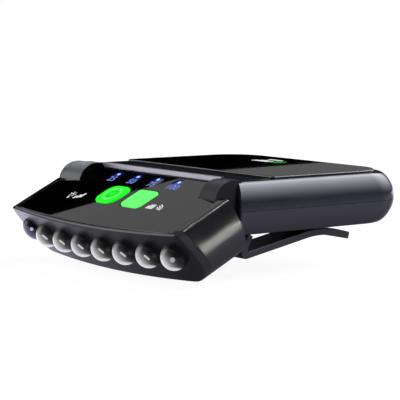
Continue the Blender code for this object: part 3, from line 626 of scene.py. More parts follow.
# Colour, colour where rubbed, roughness, and what else sets the finish apart
PLASTICS = {
    "case_plastic": ((0.0105, 0.0095, 0.0270), (0.022, 0.022, 0.045), 0.15, {"ior": 1.9}),
    "head_plastic": ((0.006, 0.006, 0.0078), (0.015, 0.015, 0.018), 0.15, {"ior": 1.9}),
    "face_plastic": ((0.020, 0.020, 0.023), (0.04, 0.04, 0.045), 0.30, {"ior": 1.6}),
    "gloss_black": ((0.0012, 0.0012, 0.0013), (0.002, 0.002, 0.002), 0.012,
                    {"grain": 2.5, "bump": 0.004, "uneven": 0.006}),
    # Lighter grey for the panels' rounded rims, a painted edge highlight, and for the grey line between the
    # keys
    "panel_rim": ((0.16, 0.16, 0.17), (0.25, 0.25, 0.26), 0.25, {"metallic": 0.3}),
    # Copies of the case plastic on the hinge shoulders: painted shade on the right one, painted light on the
    # left one, the darkest painted shade on their inner ends
    "hinge_painted_shade": ((0.012, 0.012, 0.017), (0.02, 0.02, 0.03), 0.5, {"ior": 1.35}),
    "shoulder_painted_light": ((0.020, 0.022, 0.034), (0.03, 0.034, 0.05), 0.30, {"ior": 1.6}),
    "hinge_shade": ((0.0015, 0.0015, 0.002), (0.003, 0.003, 0.004), 0.6, {"ior": 1.15}),
    "deck_slate": ((0.008, 0.010, 0.018), (0.015, 0.017, 0.028), 0.5, {"ior": 1.12}),
    "satin_silver": ((0.50, 0.48, 0.50), (0.7, 0.7, 0.72), 0.32,
                     {"metallic": 0.4, "grain": 0.12, "bump": 0.06, "stretch": (0.08, 1, 1)}),
    # The clip's plastic in a lighter copy on its ends, painted light, and a darker copy on its broad faces,
    # painted shade
    "clip_plastic": ((0.062, 0.060, 0.078), (0.08, 0.08, 0.09), 0.34, {}),
    "clip_face_painted_shade": ((0.008, 0.008, 0.011), (0.015, 0.015, 0.02), 0.4, {"ior": 1.4}),
    "steel": ((0.50, 0.50, 0.52), (0.8, 0.8, 0.8), 0.28, {"metallic": 1.0}),
    "board_green": ((0.01, 0.09, 0.03), (0.3, 0.25, 0.1), 0.4, {}),
    "battery_foil": ((0.45, 0.46, 0.5), (0.7, 0.7, 0.7), 0.35, {"metallic": 0.8}),
    "component_black": ((0.012, 0.012, 0.013), (0.05, 0.05, 0.05), 0.5, {}),
    "wire_red": ((0.4, 0.01, 0.008), (0.5, 0.1, 0.1), 0.45, {}),
}
GLOWS = {
    # The glints are painted highlights on the domes.
    "lens_glint": ((0.55, 0.55, 0.54), 0.8),
    "dim_glint": ((0.36, 0.36, 0.36), 0.8),
    "sensor_glint": ((0.45, 0.42, 0.62), 0.8),
    "green_key": ((0.0, 0.78, 0.005), 1.0),
    "light_green_key": ((0.11, 1.0, 0.13), 1.0),
    "key_ring": ((0.16, 1.0, 0.20), 1.05),
    "key_mark": ((0.0, 0.50, 0.01), 1.0),
    "key_line": ((0.06, 0.75, 0.08), 1.0),
    "print_white": ((0.72, 0.72, 0.74), 0.9),
    "print_green": ((0.02, 0.30, 0.03), 0.8),
    "blue_light": ((0.42, 0.50, 1.0), 1.4),
    "lamp_spot": ((0.42, 0.50, 1.0), 1.3),
    "numeral_blue": ((0.15, 0.20, 0.62), 0.9),
}
# Tones of the painted reflection and painted shade on the lamp domes and the sensor's dome
PAINTED_LENS_LOOKS = {"lamp_lens": (1.0, 1.0, 1.03), "sensor_lens": (0.1235, 0.1105, 0.1755)}
HALO_LOOKS = [f"lamp_halo_{i}" for i in range(len(HALO_GLOW))]


def make_materials():
    looks = {name: plastic(name, *values, **options) for name, (*values, options) in PLASTICS.items()}
    looks.update({name: glow(name, *values) for name, values in GLOWS.items()})
    looks.update({name: lens(name, tone) for name, tone in PAINTED_LENS_LOOKS.items()})
    looks.update({name: halo(name, strength) for name, strength in zip(HALO_LOOKS, HALO_GLOW)})
    return looks


LOOKS = make_materials()


# ------------ battery case

def case_ring(z, inset, front, front_corner):
    share = math.sin(math.pi * min(max(z / CASE_HEIGHT, 0.0), 1.0)) ** BULGE_POWER
    half_x = CASE_HALF_WIDTH + SIDE_BULGE * share - inset
    rear = CASE_LENGTH + REAR_BULGE * share - inset
    outline = rounded_rectangle(half_x, front, rear, front_corner, REAR_CORNER - inset)
    return [(x, y, z) for x, y in outline]


def ring_heights(low, high, count):
    for step in range(count + 1):
        yield low + (high - low) * (1 - math.cos(math.pi * step / count)) / 2


def case_block():
    rings = []
    for z in ring_heights(0.0, CASE_HEIGHT, CASE_RINGS):
        reach = min(z, CASE_HEIGHT - z)
        inset = 0.0
        if reach < EDGE_FILLET:
            inset = EDGE_FILLET - math.sqrt(EDGE_FILLET ** 2 - (EDGE_FILLET - reach) ** 2)
        rings.append(case_ring(z, inset, 0.0, FRONT_CORNER))
    return loft_mesh(rings)


def case_cavity():
    return loft_mesh([case_ring(z, WALL, CAVITY_FRONT, CAVITY_CORNER)
                      for z in ring_heights(FLOOR, CAVITY_TOP, CAVITY_RINGS)])


def knuckle_mesh(side, steps=8):
    depth = KNUCKLE_OUTER[side] - KNUCKLE_INNER
    rounding = KNUCKLE_ROUNDING[side]
    profile = [(0.0, depth)]
    for angle in quarter_turn(steps):
        profile.append((KNUCKLE_RADIUS - rounding + rounding * math.sin(angle),
                        depth - rounding + rounding * math.cos(angle)))
    profile += [(KNUCKLE_RADIUS, -KNUCKLE_OVERLAP), (0.0, -KNUCKLE_OVERLAP)]
    turn = Matrix.Rotation(side * math.pi / 2, 4, "Y")
    return moved(turned_mesh(profile, 64), at(0, 0, KNUCKLE_INNER), turn, at(0, HINGE_Y, HINGE_Z))


def shoulder_mesh(side):
    outer, low, high = SHOULDER
    left, right = sorted((side * outer, side * (KNUCKLE_INNER - KNUCKLE_OVERLAP)))
    return box_mesh((left, HINGE_Y, low), (right, SHOULDER_REAR, high))


def panel_outline(grow=0.0):
    half, front, rear, front_corner, rear_corner = PANEL
    return rounded_rectangle(half + grow, front - grow, rear + grow, front_corner, rear_corner + grow)


def port_opening():
    half, tall, corner = PORT
    return moved(slab_mesh((half, -tall, tall, corner), *PORT_REACH), UPRIGHT, at(0, 0, PORT_Z))


def seat_groove():
    width, depth = SEAT_GROOVE
    return cut(slab_mesh(SEAT_FACE, -OVER, depth, grow=width), slab_mesh(SEAT_FACE, -2 * OVER, depth + 1))


# The case's finish, then painted shade on the right shoulder, painted light on the left and the darkest
# painted shade on their inner ends
HINGE_LOOKS = ("case_plastic", "hinge_painted_shade", "shoulder_painted_light", "hinge_shade")


def hinge_faces(mesh):
    """Gives the right shoulder a duller, darker copy of the case's finish as painted shade, the left one a
    lighter slate copy as painted light, and their inner ends the darkest copy as painted shade.
    """
    for face in mesh.polygons:
        if face.center.y > SHOULDER_REAR - 0.02:
            continue
        if abs(face.normal.x) > 0.8 and abs(face.center.x) < KNUCKLE_INNER + 1:
            face.material_index = 3
        elif face.center.x > KNUCKLE_INNER - 0.3:
            face.material_index = 1
        elif face.center.x < -KNUCKLE_INNER:
            face.material_index = 2
    return mesh


def make_shells():
    whole = join(case_block(), knuckle_mesh(1), knuckle_mesh(-1), shoulder_mesh(1), shoulder_mesh(-1))
    trough = rod_mesh(
        TONGUE_RADIUS + GAP, -KNUCKLE_INNER, KNUCKLE_INNER, "X", at=(0, HINGE_Y, HINGE_Z))
    whole = cut(whole, case_cavity(), trough, port_opening())
    half, front, rear, corner = DECK
    deck = slab_mesh((half, front, rear + 1, corner), DECK_Z, CASE_HEIGHT + OVER, 6)
    pocket = prism_mesh(panel_outline(FIT), PANEL_LOW - 0.2, PANEL_TOP + OVER)
    half, _, rear, low, high = TRIM
    notch = box_mesh((-half - 0.1, -OVER, low - 0.2), (half + 0.1, rear + 0.1, high + OVER))
    top = cut(cut(whole.copy(), below(PARTING + SEAM / 2)), pocket, deck, notch)
    sinks = [rod_mesh(SINK_RADIUS, -OVER, SINK_TOP, sides=40, at=(x, y, 0)) for x, y in SCREW_SPOTS]
    bottom = cut(cut(whole, above(PARTING - SEAM / 2)), seat_groove(), *sinks)
    for name, mesh in (("top_shell", top), ("bottom_shell", bottom)):
        piece(name, hinge_faces(mesh), "case", HINGE_LOOKS, (f"body_{name}",))


def with_painted_rim_highlight(mesh, top, share):
    """Gives the rounded rim at the top the second finish, a lighter grey that paints in the highlight along
    the edge.
    """
    for face in mesh.polygons:
        if face.center.z > top - share and 0.15 < face.normal.z < 0.9:
            face.material_index = 1
    return mesh


def make_body_panel():
    # The panel's rounded rim gets the painted edge highlight.
    mesh = with_painted_rim_highlight(prism_mesh(panel_outline(), PANEL_LOW, PANEL_TOP, PANEL_FILLET, 4), PANEL_TOP, 0.2)
    piece("top_panel", mesh, "case", ("gloss_black", "panel_rim"), ("body_top_panel",),
          sharp=60)


def make_deck():
    """The sunk strip between the trim bar and the panel, with a thin lighter rim that paints in the edge
    highlight.
    """
    half, front, rear, corner = DECK
    top = DECK_Z + DECK_THICKNESS
    mesh = slab_mesh((half - 0.05, front + 0.05, rear + 0.3, corner), DECK_Z - 0.02, top, 6, fillet=0.06)
    piece("deck_strip", with_painted_rim_highlight(mesh, top, 0.06), "case", ("deck_slate", "panel_rim"), sharp=60)


def make_trim():
    half, front, rear, low, high = TRIM
    outline = [(-half + TRIM_SLANT, low), (half - TRIM_SLANT, low), (half, high), (-half, high)]
    piece("trim_bar", moved(prism_mesh(outline, front, rear, TRIM_FILLET), UPRIGHT), "case",
          "satin_silver", ("front_trim_bar",), sharp=60)


# ------------ brim clip

def clip_line():
    """The strip's middle line, from the top of the leg, round the elbow, to the end of the lip."""
    turn = CLIP_LEG_HEADING - CLIP_ARM_HEADING
    trim = CLIP_ELBOW_RADIUS / math.tan(math.radians(turn / 2))
    start = walk(CLIP_ELBOW, CLIP_LEG_HEADING, CLIP_LEG_LENGTH)
    points = [walk(start, CLIP_LEG_HEADING + 180, (CLIP_LEG_LENGTH - trim) * step / CLIP_LEG_STEPS)
              for step in range(CLIP_LEG_STEPS)]
    for step in range(CLIP_BEND_STEPS + 1):
        share = step / CLIP_BEND_STEPS
        first = walk(CLIP_ELBOW, CLIP_LEG_HEADING, trim * (1 - share))
        second = walk(CLIP_ELBOW, CLIP_ARM_HEADING, trim * share)
        points.append(tuple(Vector(first).lerp(Vector(second), share)))
    for step in range(1, CLIP_ARM_STEPS + 1):
        reach = trim + (CLIP_ARM_LENGTH - trim) * step / CLIP_ARM_STEPS
        points.append(walk(CLIP_ELBOW, CLIP_ARM_HEADING, reach))
    for step in range(CLIP_BEND_STEPS):
        heading = CLIP_ARM_HEADING + CLIP_BEND * (step + 0.5) / CLIP_BEND_STEPS
        points.append(walk(points[-1], heading, CLIP_BEND_LENGTH / CLIP_BEND_STEPS))
    points.append(walk(points[-1], CLIP_ARM_HEADING + CLIP_BEND, CLIP_LIP_LENGTH))
    return points


def strip_outline(points, half):
    left, right = [], []
    for i, point in enumerate(points):
        before = Vector(points[max(i - 1, 0)])
        after = Vector(points[min(i + 1, len(points) - 1)])
        course = (after - before).normalized()
        side = Vector((-course.y, course.x)) * half
        left.append(tuple(Vector(point) + side))
        right.append(tuple(Vector(point) - side))
    return right + left[::-1]


def make_clip():
    outline = strip_outline(clip_line(), CLIP_THICKNESS / 2)
    mesh = side_prism(outline, -CLIP_HALF_WIDTH, CLIP_HALF_WIDTH, CLIP_FILLET)
    mesh = cut(mesh, slab_mesh(CLIP_WINDOW, -12, 4, 10))
    # Faces turned along X, such as the strip's ends, take the lighter copy as painted light; the rest take
    # the darker copy as painted shade.
    for face in mesh.polygons:
        face.material_index = int(abs(face.normal.x) < 0.6)
    clip = piece("brim_clip", mesh, None, ("clip_plastic", "clip_face_painted_shade"),
                 ("clip_base", "clip_arm"), sharp=50, place=CASE)
    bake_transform(clip)


# ------------ lamp head

def face_sag(x):
    return FACE_RADIUS - math.sqrt(FACE_RADIUS ** 2 - x * x)


def face_y(x, z, depth=0.0):
    """The face's Y in the head's frame, moved back by depth square to the face's middle."""
    tilt = math.radians(FACE_TILT)
    back = face_sag(x) + depth
    rise = (z - HEAD_TOP - back * math.sin(tilt)) / math.cos(tilt)
    return BROW_Y + back * math.cos(tilt) - rise * math.sin(tilt)


def head_side(top=HEAD_TOP, inset=0.0):
    """The right side from the front: a round cheek from the bottom, then a gentle bulge to the top."""
    side = []
    for step in range(CHEEK_STEPS + 1):
        angle = math.radians(-90 + 90 * step / CHEEK_STEPS)
        side.append((CHEEK_WIDEST - CHEEK_CORNER + (CHEEK_CORNER - inset) * math.cos(angle),
                     CHEEK_MIDDLE + (CHEEK_MIDDLE - HEAD_BOTTOM - inset) * math.sin(angle)))
    rise = HEAD_TOP - CHEEK_MIDDLE
    last = math.asin((top - CHEEK_MIDDLE) / rise)
    for step in range(1, CHEEK_STEPS + 1):
        angle = last * step / CHEEK_STEPS
        bulge = (CHEEK_WIDEST - BROW_HALF_WIDTH) * math.cos(angle)
        side.append((BROW_HALF_WIDTH - inset + bulge, CHEEK_MIDDLE + rise * math.sin(angle)))
    return side


def head_outline(top=HEAD_TOP, inset=0.0):
    """The head from the front, counter-clockwise, with points along its straight top and bottom."""
    side = head_side(top, inset)
    across_top = [(side[-1][0] * (1 - 2 * i / FACE_COLUMNS), side[-1][1]) for i in range(1, FACE_COLUMNS)]
    across_low = [(side[0][0] * (2 * i / FACE_COLUMNS - 1), side[0][1]) for i in range(1, FACE_COLUMNS)]
    return side + across_top + [(-x, z) for x, z in reversed(side)] + across_low


def head_slice(depth, back, brow=0.0, edge=0.0):
    """The head's block behind a face-parallel front with rounded rims, at the brow and elsewhere.

    Its back lies at a depth, parallel to the face, or on the plane at a negative Y.
    """
    outline = head_outline()
    count = len(head_side())
    top_run = range(count - 1, count + FACE_COLUMNS)
    rings = [[(x, face_y(x, z, back) if back > 0 else back, z) for x, z in outline]]
    for angle in quarter_turn(FACE_FILLET_STEPS) if brow or edge else [0.0]:
        shrunk = {radius: inset_outline(outline, radius * (1 - math.cos(angle))) for radius in (brow, edge)}
        ring = []
        for i in range(len(outline)):
            radius = brow if i in top_run else edge
            x, z = shrunk[radius][i]
            ring.append((x, face_y(x, z, depth + radius * (1 - math.sin(angle))), z))
        rings.append(ring)
    form = bmesh.new()
    loops = add_walls(form, rings)
    fill_face(form, loops[-1], count, depth)
    if back > 0:
        fill_face(form, loops[0], count, back)
    else:
        form.faces.new(loops[0])
    return finish_form(form)


def fill_face(form, loop, count, depth):
    """Closes a ring of the head, of count points a side, with faces that follow the curved face."""
    columns = FACE_COLUMNS
    rows = []
    for i in range(count):
        left, right = loop[2 * count + columns - 2 - i], loop[i]
        if i == 0:
            between = loop[1 - columns:]
        elif i == count - 1:
            between = loop[count:count + columns - 1][::-1]
        else:
            between = []
            for k in range(1, columns):
                x = left.co.x + (right.co.x - left.co.x) * k / columns
                z = left.co.z + (right.co.z - left.co.z) * k / columns
                between.append(form.verts.new((x, face_y(x, z, depth), z)))
        rows.append([left, *between, right])
    for lower, upper in zip(rows, rows[1:]):
        for k in range(columns):
            form.faces.new((lower[k], lower[k + 1], upper[k + 1], upper[k]))


def head_panel_outline(grow=0.0):
    half = HEAD_PANEL_SIDE + grow
    points = []
    for step in range(PANEL_FRONT_STEPS + 1):
        x = -half + 2 * half * step / PANEL_FRONT_STEPS
        sag = PANEL_FRONT_RADIUS - math.sqrt(PANEL_FRONT_RADIUS ** 2 - x * x)
        points.append((x, PANEL_FRONT_Y + sag - grow))
    right = [(NOTCH_OUTER[0] + grow, NOTCH_OUTER[1] + grow), (NOTCH_INNER[0], NOTCH_INNER[1] + grow),
             (TONGUE_END[0], TONGUE_END[1] + grow)]
    return points + right + [(-x, y) for x, y in reversed(right)]


def panel_recess():
    return prism_mesh(head_panel_outline(FIT), HEAD_DECK, HEAD_TOP + OVER)


def knuckle_pockets():
    """Room for the knuckles; the left one is open at the side."""
    inner = KNUCKLE_INNER - GAP
    return [rod_mesh(KNUCKLE_RADIUS + GAP, inner, CHEEK_INNER, "X"),
            rod_mesh(KNUCKLE_RADIUS + GAP, -CHEEK_WIDEST - 1, -inner, "X")]


def indicator_holes(grow, low, sides):
    return [rod_mesh(INDICATOR_RADIUS + grow, low, HEAD_TOP + 1, sides=sides, at=(x, INDICATOR_Y, 0))
            for _, x in INDICATORS]


def make_housing():
    mesh = head_slice(BEZEL_THICKNESS + BEZEL_SEAM, CHEEK_REAR)
    rear = box_mesh((-CHEEK_INNER, HEAD_REAR, -20), (CHEEK_INNER, 20, 20))
    heel = side_prism(HEEL_RELIEF, -CHEEK_INNER, CHEEK_INNER)
    mesh = cut(mesh, rear, heel, *knuckle_pockets())
    barrel = rod_mesh(TONGUE_RADIUS, -TONGUE_HALF_WIDTH, TONGUE_HALF_WIDTH, "X")
    front, back, low, high = WEB
    mesh = join(mesh, barrel, box_mesh((-WEB_HALF_WIDTH, front, low), (WEB_HALF_WIDTH, back, high)))
    cavity_top, cavity_rear, cavity_bottom = HEAD_CAVITY
    cavity = loft_mesh([[(x, y, z) for x, z in head_outline(cavity_top, HEAD_WALL)]
                        for y in (BROW_Y - 6, cavity_rear)])
    over_tongue = box_mesh((-WEB_HALF_WIDTH - 0.4, -6, HEAD_DECK), (WEB_HALF_WIDTH + 0.4, 6, 6))
    mesh = cut(mesh, cut(cavity, below(cavity_bottom)), panel_recess(), over_tongue, box_mesh(*KEY_WELL))
    for hole in indicator_holes(GAP, 0.7, 24):
        mesh = cut(mesh, hole)
    piece("lamp_housing", mesh, "head", "head_plastic", ("head_housing",))


def dome_places():
    """Each dome's number and place, turned to look out square to the curved face."""
    for i in range(DOME_COUNT):
        x = (i - (DOME_COUNT - 1) / 2) * DOME_PITCH
        sag = face_sag(x)
        drop = -DOME_DROP - sag * math.tan(math.radians(FACE_TILT))
        yaw = Matrix.Rotation(math.asin(x / FACE_RADIUS), 4, "Z")
        yield i, FACE @ at(x, sag - DOME_PROUD, drop) @ yaw @ Matrix.Rotation(math.pi / 2, 4, "X")


def make_bezel():
    mesh = cut(head_slice(0.0, BEZEL_THICKNESS, BROW_FILLET, FACE_FILLET), panel_recess())
    holes = [moved(rod_mesh(DOME_RADIUS + FIT, -6, 4, sides=48), HEAD.inverted() @ place)
             for _, place in dome_places()]
    piece("face_bezel", cut(mesh, *holes), "head", "face_plastic", ("front_bezel",),
          sharp=40)


def dome_mesh(bulge, steps=14):
    profile = [(DOME_RADIUS * math.sin(angle), bulge * math.cos(angle)) for angle in quarter_turn(steps)]
    return turned_mesh(profile + [(DOME_RADIUS, -DOME_DEPTH), (0, -DOME_DEPTH)])


def make_domes():
    # Each dome's finish paints its reflection and shade in as glow.
    for i, place in dome_places():
        if i == 0:
            piece("sensor_dome", dome_mesh(SENSOR_BULGE), "head", "sensor_lens",
                  ("sensor_lens",), sharp=50, place=place)
        else:
            piece(f"lamp_dome_{i}", dome_mesh(LAMP_BULGE), "head", "lamp_lens",
                  (f"led_lens_{i}",), sharp=50, place=place)


def glint_mesh(length, radius):
    """A low rounded bar, along X."""
    form = bmesh.new()
    bmesh.ops.create_uvsphere(form, u_segments=20, v_segments=12, radius=radius)
    for vert in form.verts:
        if abs(vert.co.x) > 1e-4:
            vert.co.x += math.copysign(length / 2 - radius, vert.co.x)
        vert.co.z *= 0.25
    return finish_form(form)


def glint_place(place, bulge):
    """Where a dome mirrors the soft light above it, as a frame with X along the slanting glint."""
    up = CAMERA_BACK.cross(CAMERA_RIGHT)
    slant = CAMERA_RIGHT * math.cos(math.radians(GLINT_SLANT)) + up * math.sin(math.radians(GLINT_SLANT))
    turn = place.to_3x3() * (1 / MM)
    axis = (turn @ Vector((0, 0, 1))).normalized()
    towards, above, right = GLINT_LEAN
    lean = (axis + CAMERA_BACK * towards + up * above + CAMERA_RIGHT * right).normalized()
    local = turn.inverted() @ lean
    flat = Vector((local.x, local.y, 0)) * DOME_RADIUS ** 2 + Vector((0, 0, local.z)) * bulge ** 2
    reach = math.sqrt(DOME_RADIUS ** 2 * (local.x ** 2 + local.y ** 2) + (bulge * local.z) ** 2)
    along = (slant - slant.dot(lean) * lean).normalized()
    return axes_at(along, lean.cross(along), lean, place @ (flat / reach)) @ SCALE


def make_glints():
    """The shine on each dome: a slanting bar, and a spot on the end domes."""
    for i, place in dome_places():
        length, radius, look = 1.55, 0.21, "lens_glint"
        if i == 0:
            length, radius, look = 0.8, 0.4, "sensor_glint"
        elif i == DOME_COUNT - 1:
            length, radius, look = 1.1, 0.55, "dim_glint"
        bulge = LAMP_BULGE if i else SENSOR_BULGE
        piece(f"glint_{i}", glint_mesh(length, radius), "head", look, sharp=80,
              place=glint_place(place, bulge))


def button_outline(button, grow):
    x, y, width, depth, corner = button
    half = depth / 2 + grow
    outline = rounded_rectangle(width / 2 + grow, -half, half, corner + grow, corner + grow, 10)
    return [(across + x, up + y) for across, up in outline]


def make_head_panel():
    mesh = prism_mesh(head_panel_outline(), HEAD_PANEL_LOW, HEAD_TOP, 0.12)
    keyholes = [prism_mesh(button_outline(button, BUTTON_GAP), HEAD_PANEL_LOW - 1, HEAD_TOP + 1)
                for button in (POWER_BUTTON, SENSOR_BUTTON)]
    mesh = cut(mesh, *knuckle_pockets(), *keyholes, *indicator_holes(0.05, HEAD_PANEL_LOW - 1, 32))
    # The rounded rim gets the painted edge highlight.
    piece("control_panel", with_painted_rim_highlight(mesh, HEAD_TOP, 0.13), "head", ("gloss_black", "panel_rim"),
          ("head_top_panel",), sharp=60)


def make_buttons():
    for key, button, inset, look in (("power", POWER_BUTTON, POWER_INSET, "green_key"),
                                     ("sensor", SENSOR_BUTTON, SENSOR_INSET, "light_green_key")):
        mesh = prism_mesh(button_outline(button, -inset), BUTTON_LOW, BUTTON_TOP, BUTTON_FILLET, 4)
        piece(f"{key}_key_cap", mesh, f"{key}_key", look, (f"{key}_button",), sharp=60)


# ------------ printed and lit marks

def circle(x, y, radius, start=0, end=360, steps=40):
    return [walk((x, y), start + (end - start) * k / steps, radius) for k in range(steps + 1)]


def bar_mesh(x, y, width, height, slant=0.0):
    """A thin printed bar standing on X and Y."""
    outline = [(x, y), (x + width, y), (x + width + slant, y + height), (x + slant, y + height)]
    return prism_mesh(outline, 0.0, PRINT)


def lamp_icon():
    """A bulb with rays, and three steps of brightness."""
    x, y = -1.6, 0.25
    shapes = [stroke_mesh(circle(x, y, 0.62, -50, 230, 20), 0.11),
              bar_mesh(-1.95, -0.75, 0.7, 0.2), bar_mesh(-1.85, -1.1, 0.5, 0.2)]
    for angle in (20, 60, 100, 140):
        shapes.append(stroke_mesh([walk((x, y), angle, 0.95), walk((x, y), angle, 1.35)], 0.1))
    for k in range(3):
        shapes.append(bar_mesh(0.3 + 0.9 * k, -0.9 + 0.35 * k, 0.5, 1.1 + 0.35 * k, 0.25))
    return merged(*shapes)


def wave_icon():
    """Four fingers and the waves that sense them."""
    fingers = [bar_mesh(-2.5 + 0.62 * k, -0.9, 0.34, height, 0.15)
               for k, height in enumerate((1.1, 1.6, 1.8, 1.5))]
    waves = [stroke_mesh(circle(0.6, -0.6, radius, -10, 80, 12), 0.13) for radius in (0.7, 1.25, 1.8)]
    return merged(*fingers, *waves)


def case_bars():
    """Two rows of slanting bars, like two lines of print."""
    tall = [bar_mesh(-8.6 + 1.15 * k, 34.6, 0.6, 1.6 + (k % 3) * 0.8, 0.4) for k in range(5)]
    short = [bar_mesh(-7.6 + 0.8 * k, 39.0, 0.5, 1.0, 0.2) for k in range(6)]
    return merged(*tall, *short)


def case_chevrons():
    shapes = []
    for x in (-2.6, -1.3, 0.0):
        shapes.append(stroke_mesh([(x, 34.2), (x + 1.4, 36.2), (x, 38.2)], 0.24, flat=0.2))
    return merged(*shapes)


def halo_mesh(x, y):
    """The lit spot and the light it spills on the panel, as rings of fading finishes."""
    form = bmesh.new()
    middle = form.verts.new((x, y, HEAD_TOP + 0.02))
    inner = None
    for index, radius in enumerate(HALO_RADII):
        drop = 0.5 * (radius - HALO_RADII[0])
        ring = [form.verts.new((px, py, HEAD_TOP + 0.02 - 0.002 * index))
                for px, py in circle(x, y - drop, radius, steps=32)[:-1]]
        for i in range(len(ring)):
            j = (i + 1) % len(ring)
            corners = (inner[i], ring[i], ring[j], inner[j]) if inner else (middle, ring[i], ring[j])
            form.faces.new(corners).material_index = index
        inner = ring
    return finish_form(form)


def lay(name, mesh, body, height, look, x=0.0, y=0.0, sharp=30):
    """Lays a mark on a body's surface at a height."""
    piece(name, moved(mesh, at(x, y, height)), body, look, sharp=sharp)


def make_marks():
    """Key icons, battery steps and generic icons."""
    x, y = POWER_BUTTON[:2]
    ring = stroke_mesh(circle(x, y, 2.25)[:-1], 0.22, closed=True, flat=0.25)
    core = stroke_mesh(circle(x, y, 1.25)[:-1], 0.34, closed=True, flat=0.2)
    lay("power_ring", ring, "power_key", BUTTON_TOP, "key_ring", sharp=35)
    lay("power_core", core, "power_key", BUTTON_TOP, "key_mark", sharp=35)
    x, y = SENSOR_BUTTON[:2]
    cross = merged(bar_mesh(x - 2.3, y - 0.08, 4.6, 0.16), bar_mesh(x - 0.08, y - 1.9, 0.16, 3.8))
    lay("sensor_mark", cross, "sensor_key", BUTTON_TOP, "key_line", sharp=35)
    for text, x in INDICATORS:
        lay(f"battery_mark_{text}", text_mesh(text, 2.7, 0.05), "head", HEAD_TOP + 0.02, "numeral_blue",
            x, INDICATOR_Y - 2.15)
        piece(f"lamp_halo_{text}", halo_mesh(x, INDICATOR_Y), "head", ["lamp_spot", *HALO_LOOKS], sharp=30)
    lay("key_divider", bar_mesh(0.9, -11.0, 0.14, 6.8), "head", HEAD_TOP, "panel_rim")
    lay("lamp_icon", lamp_icon(), "head", HEAD_TOP, "print_white", -15.7, -10.3)
    lay("wave_icon", wave_icon(), "head", HEAD_TOP, "print_white", 14.2, -9.7)
    lay("case_mark_bars", case_bars(), "case", PANEL_TOP, "print_white")
    lay("case_mark_chevrons", case_chevrons(), "case", PANEL_TOP, "print_green")


def make_plain_looks():
    """Finishes for the solids that show as they are."""
    finishes = {
        "steel": ["usb_receptacle", "hinge_shaft_left", "hinge_shaft_right", "board_screw_1",
                  "board_screw_2"] + [f"case_screw_{i}" for i in range(1, 5)],
        "board_green": ["main_board", "control_board", "led_board"],
        "battery_foil": ["battery_cell"],
        "component_black": ["sensor_module", "power_switch", "sensor_switch"],
        "wire_red": ["wire_harness_body", "wire_harness_head"],
        "blue_light": [f"indicator_light_{i}" for i in range(1, 5)],
    }
    for look, names in finishes.items():
        for name in names:
            mesh = frame["nodes"][name].data
            mesh.materials.clear()
            mesh.materials.append(LOOKS[look])


# ------------ stage

# Soft boxes far away: towards, angle where the light starts, where it is full, strength, sharpness
LOBES = (
    ((-0.78, -0.60, 0.36), 32, 6, 2.2, 1.3, (0.98, 0.98, 1.0)),
    ((0.0, -0.2, 0.98), 50, 0, 0.5, 1.5, (1.0, 1.0, 1.0)),
)
AMBIENT = 0.04
LIT_SIDE = (0.78, 0.62, 0.0)
# The tall soft box beside the case: its colour, the way to its edge, and its brightness by the rise of
# the ray that meets it
BOX_COLOR = (0.96, 0.98, 1.06)
BOX_ACROSS = (-0.469, 0.883, 0.0)
BOX_RISE = ((-1.0, 0.0), (0.0, 0.0), (0.065, 0.26), (0.138, 0.82), (0.25, 1.95), (0.37, 3.3), (0.52, 4.9),
            (0.62, 5.4), (0.72, 3.5), (0.85, 0.3), (1.0, 0.1))
# Floor brightness by X in metres: bright under the head's far end, dark under the case
FLOOR_GLOW = ((-0.060, 1.45), (-0.046, 1.3), (-0.024, 0.6), (-0.010, 0.32), (0.026, 0.06), (0.050, 0.20),
              (0.085, 0.24), (0.150, 0.03), (0.300, 0.0))
FLOOR_SEEN = 0.93
FLOOR_RADIUS = 3.0
FLOOR_GAP = 0.0004
# Cards mirrored in a glossy panel: frame, panel height, corners of the panel area, reach, strength
CARDS = {
    "head_card": (HEAD, HEAD_TOP, ((-24.0, -28.1), (16.0, 8.8), (45.0, 8.8), (45.0, -28.1)), 0.15, 0.50),
    "case_card": (CASE, PANEL_TOP, ((9.6, 7.0), (4.3, 56.0), (45.0, 56.0), (45.0, 7.0)), 0.25, 0.16),
    "case_shade": (CASE, PANEL_TOP, ((-70.0, -12.0), (-70.0, 90.0), (60.0, 90.0), (60.0, -12.0)), 0.30, 0.0),
}
# Soft boxes near the pieces that they light: middle lit, direction, distance, size, power, colour, pieces
CHEEK_AT = HEAD @ Vector((CHEEK_WIDEST, -12.0, CHEEK_MIDDLE - 1))
SHOULDER_AT = CASE @ Vector((-KNUCKLE_INNER - 5.0, HINGE_Y, HINGE_Z))
SOFT_BOXES = (
    (CHEEK_AT, (0.82, 0.57, -0.03), 0.20, (0.30, 0.030), 0.085, (1.0, 1.0, 0.94), ("lamp_housing",)),
    (CHEEK_AT, (0.30, 0.24, 0.75), 0.20, (0.30, 0.060), 0.14, (1.0, 1.0, 0.94), ("lamp_housing",)),
    (SHOULDER_AT, (-0.78, 0.24, 0.50), 0.30, (0.22, 0.22), 0.17, BOX_COLOR, ("top_shell", "bottom_shell")),
)


def curve(tree, value, points):
    """A function of a value made of straight runs between pairs of input and output."""
    low, high = points[0][0], points[-1][0]
    top = max(y for _, y in points)
    made = node(tree, "ShaderNodeFloatCurve", Value=remap(tree, value, low, high, 0.0, 1.0))
    knots = made.mapping.curves[0].points
    placed = [((x - low) / (high - low), y / top) for x, y in points]
    knots[0].location = placed[0]
    knots[-1].location = placed[-1]
    for place in placed[1:-1]:
        knots.new(*place)
    for knot in knots:
        knot.handle_type = "VECTOR"
    made.mapping.update()
    return product(tree, made.outputs[0], top)


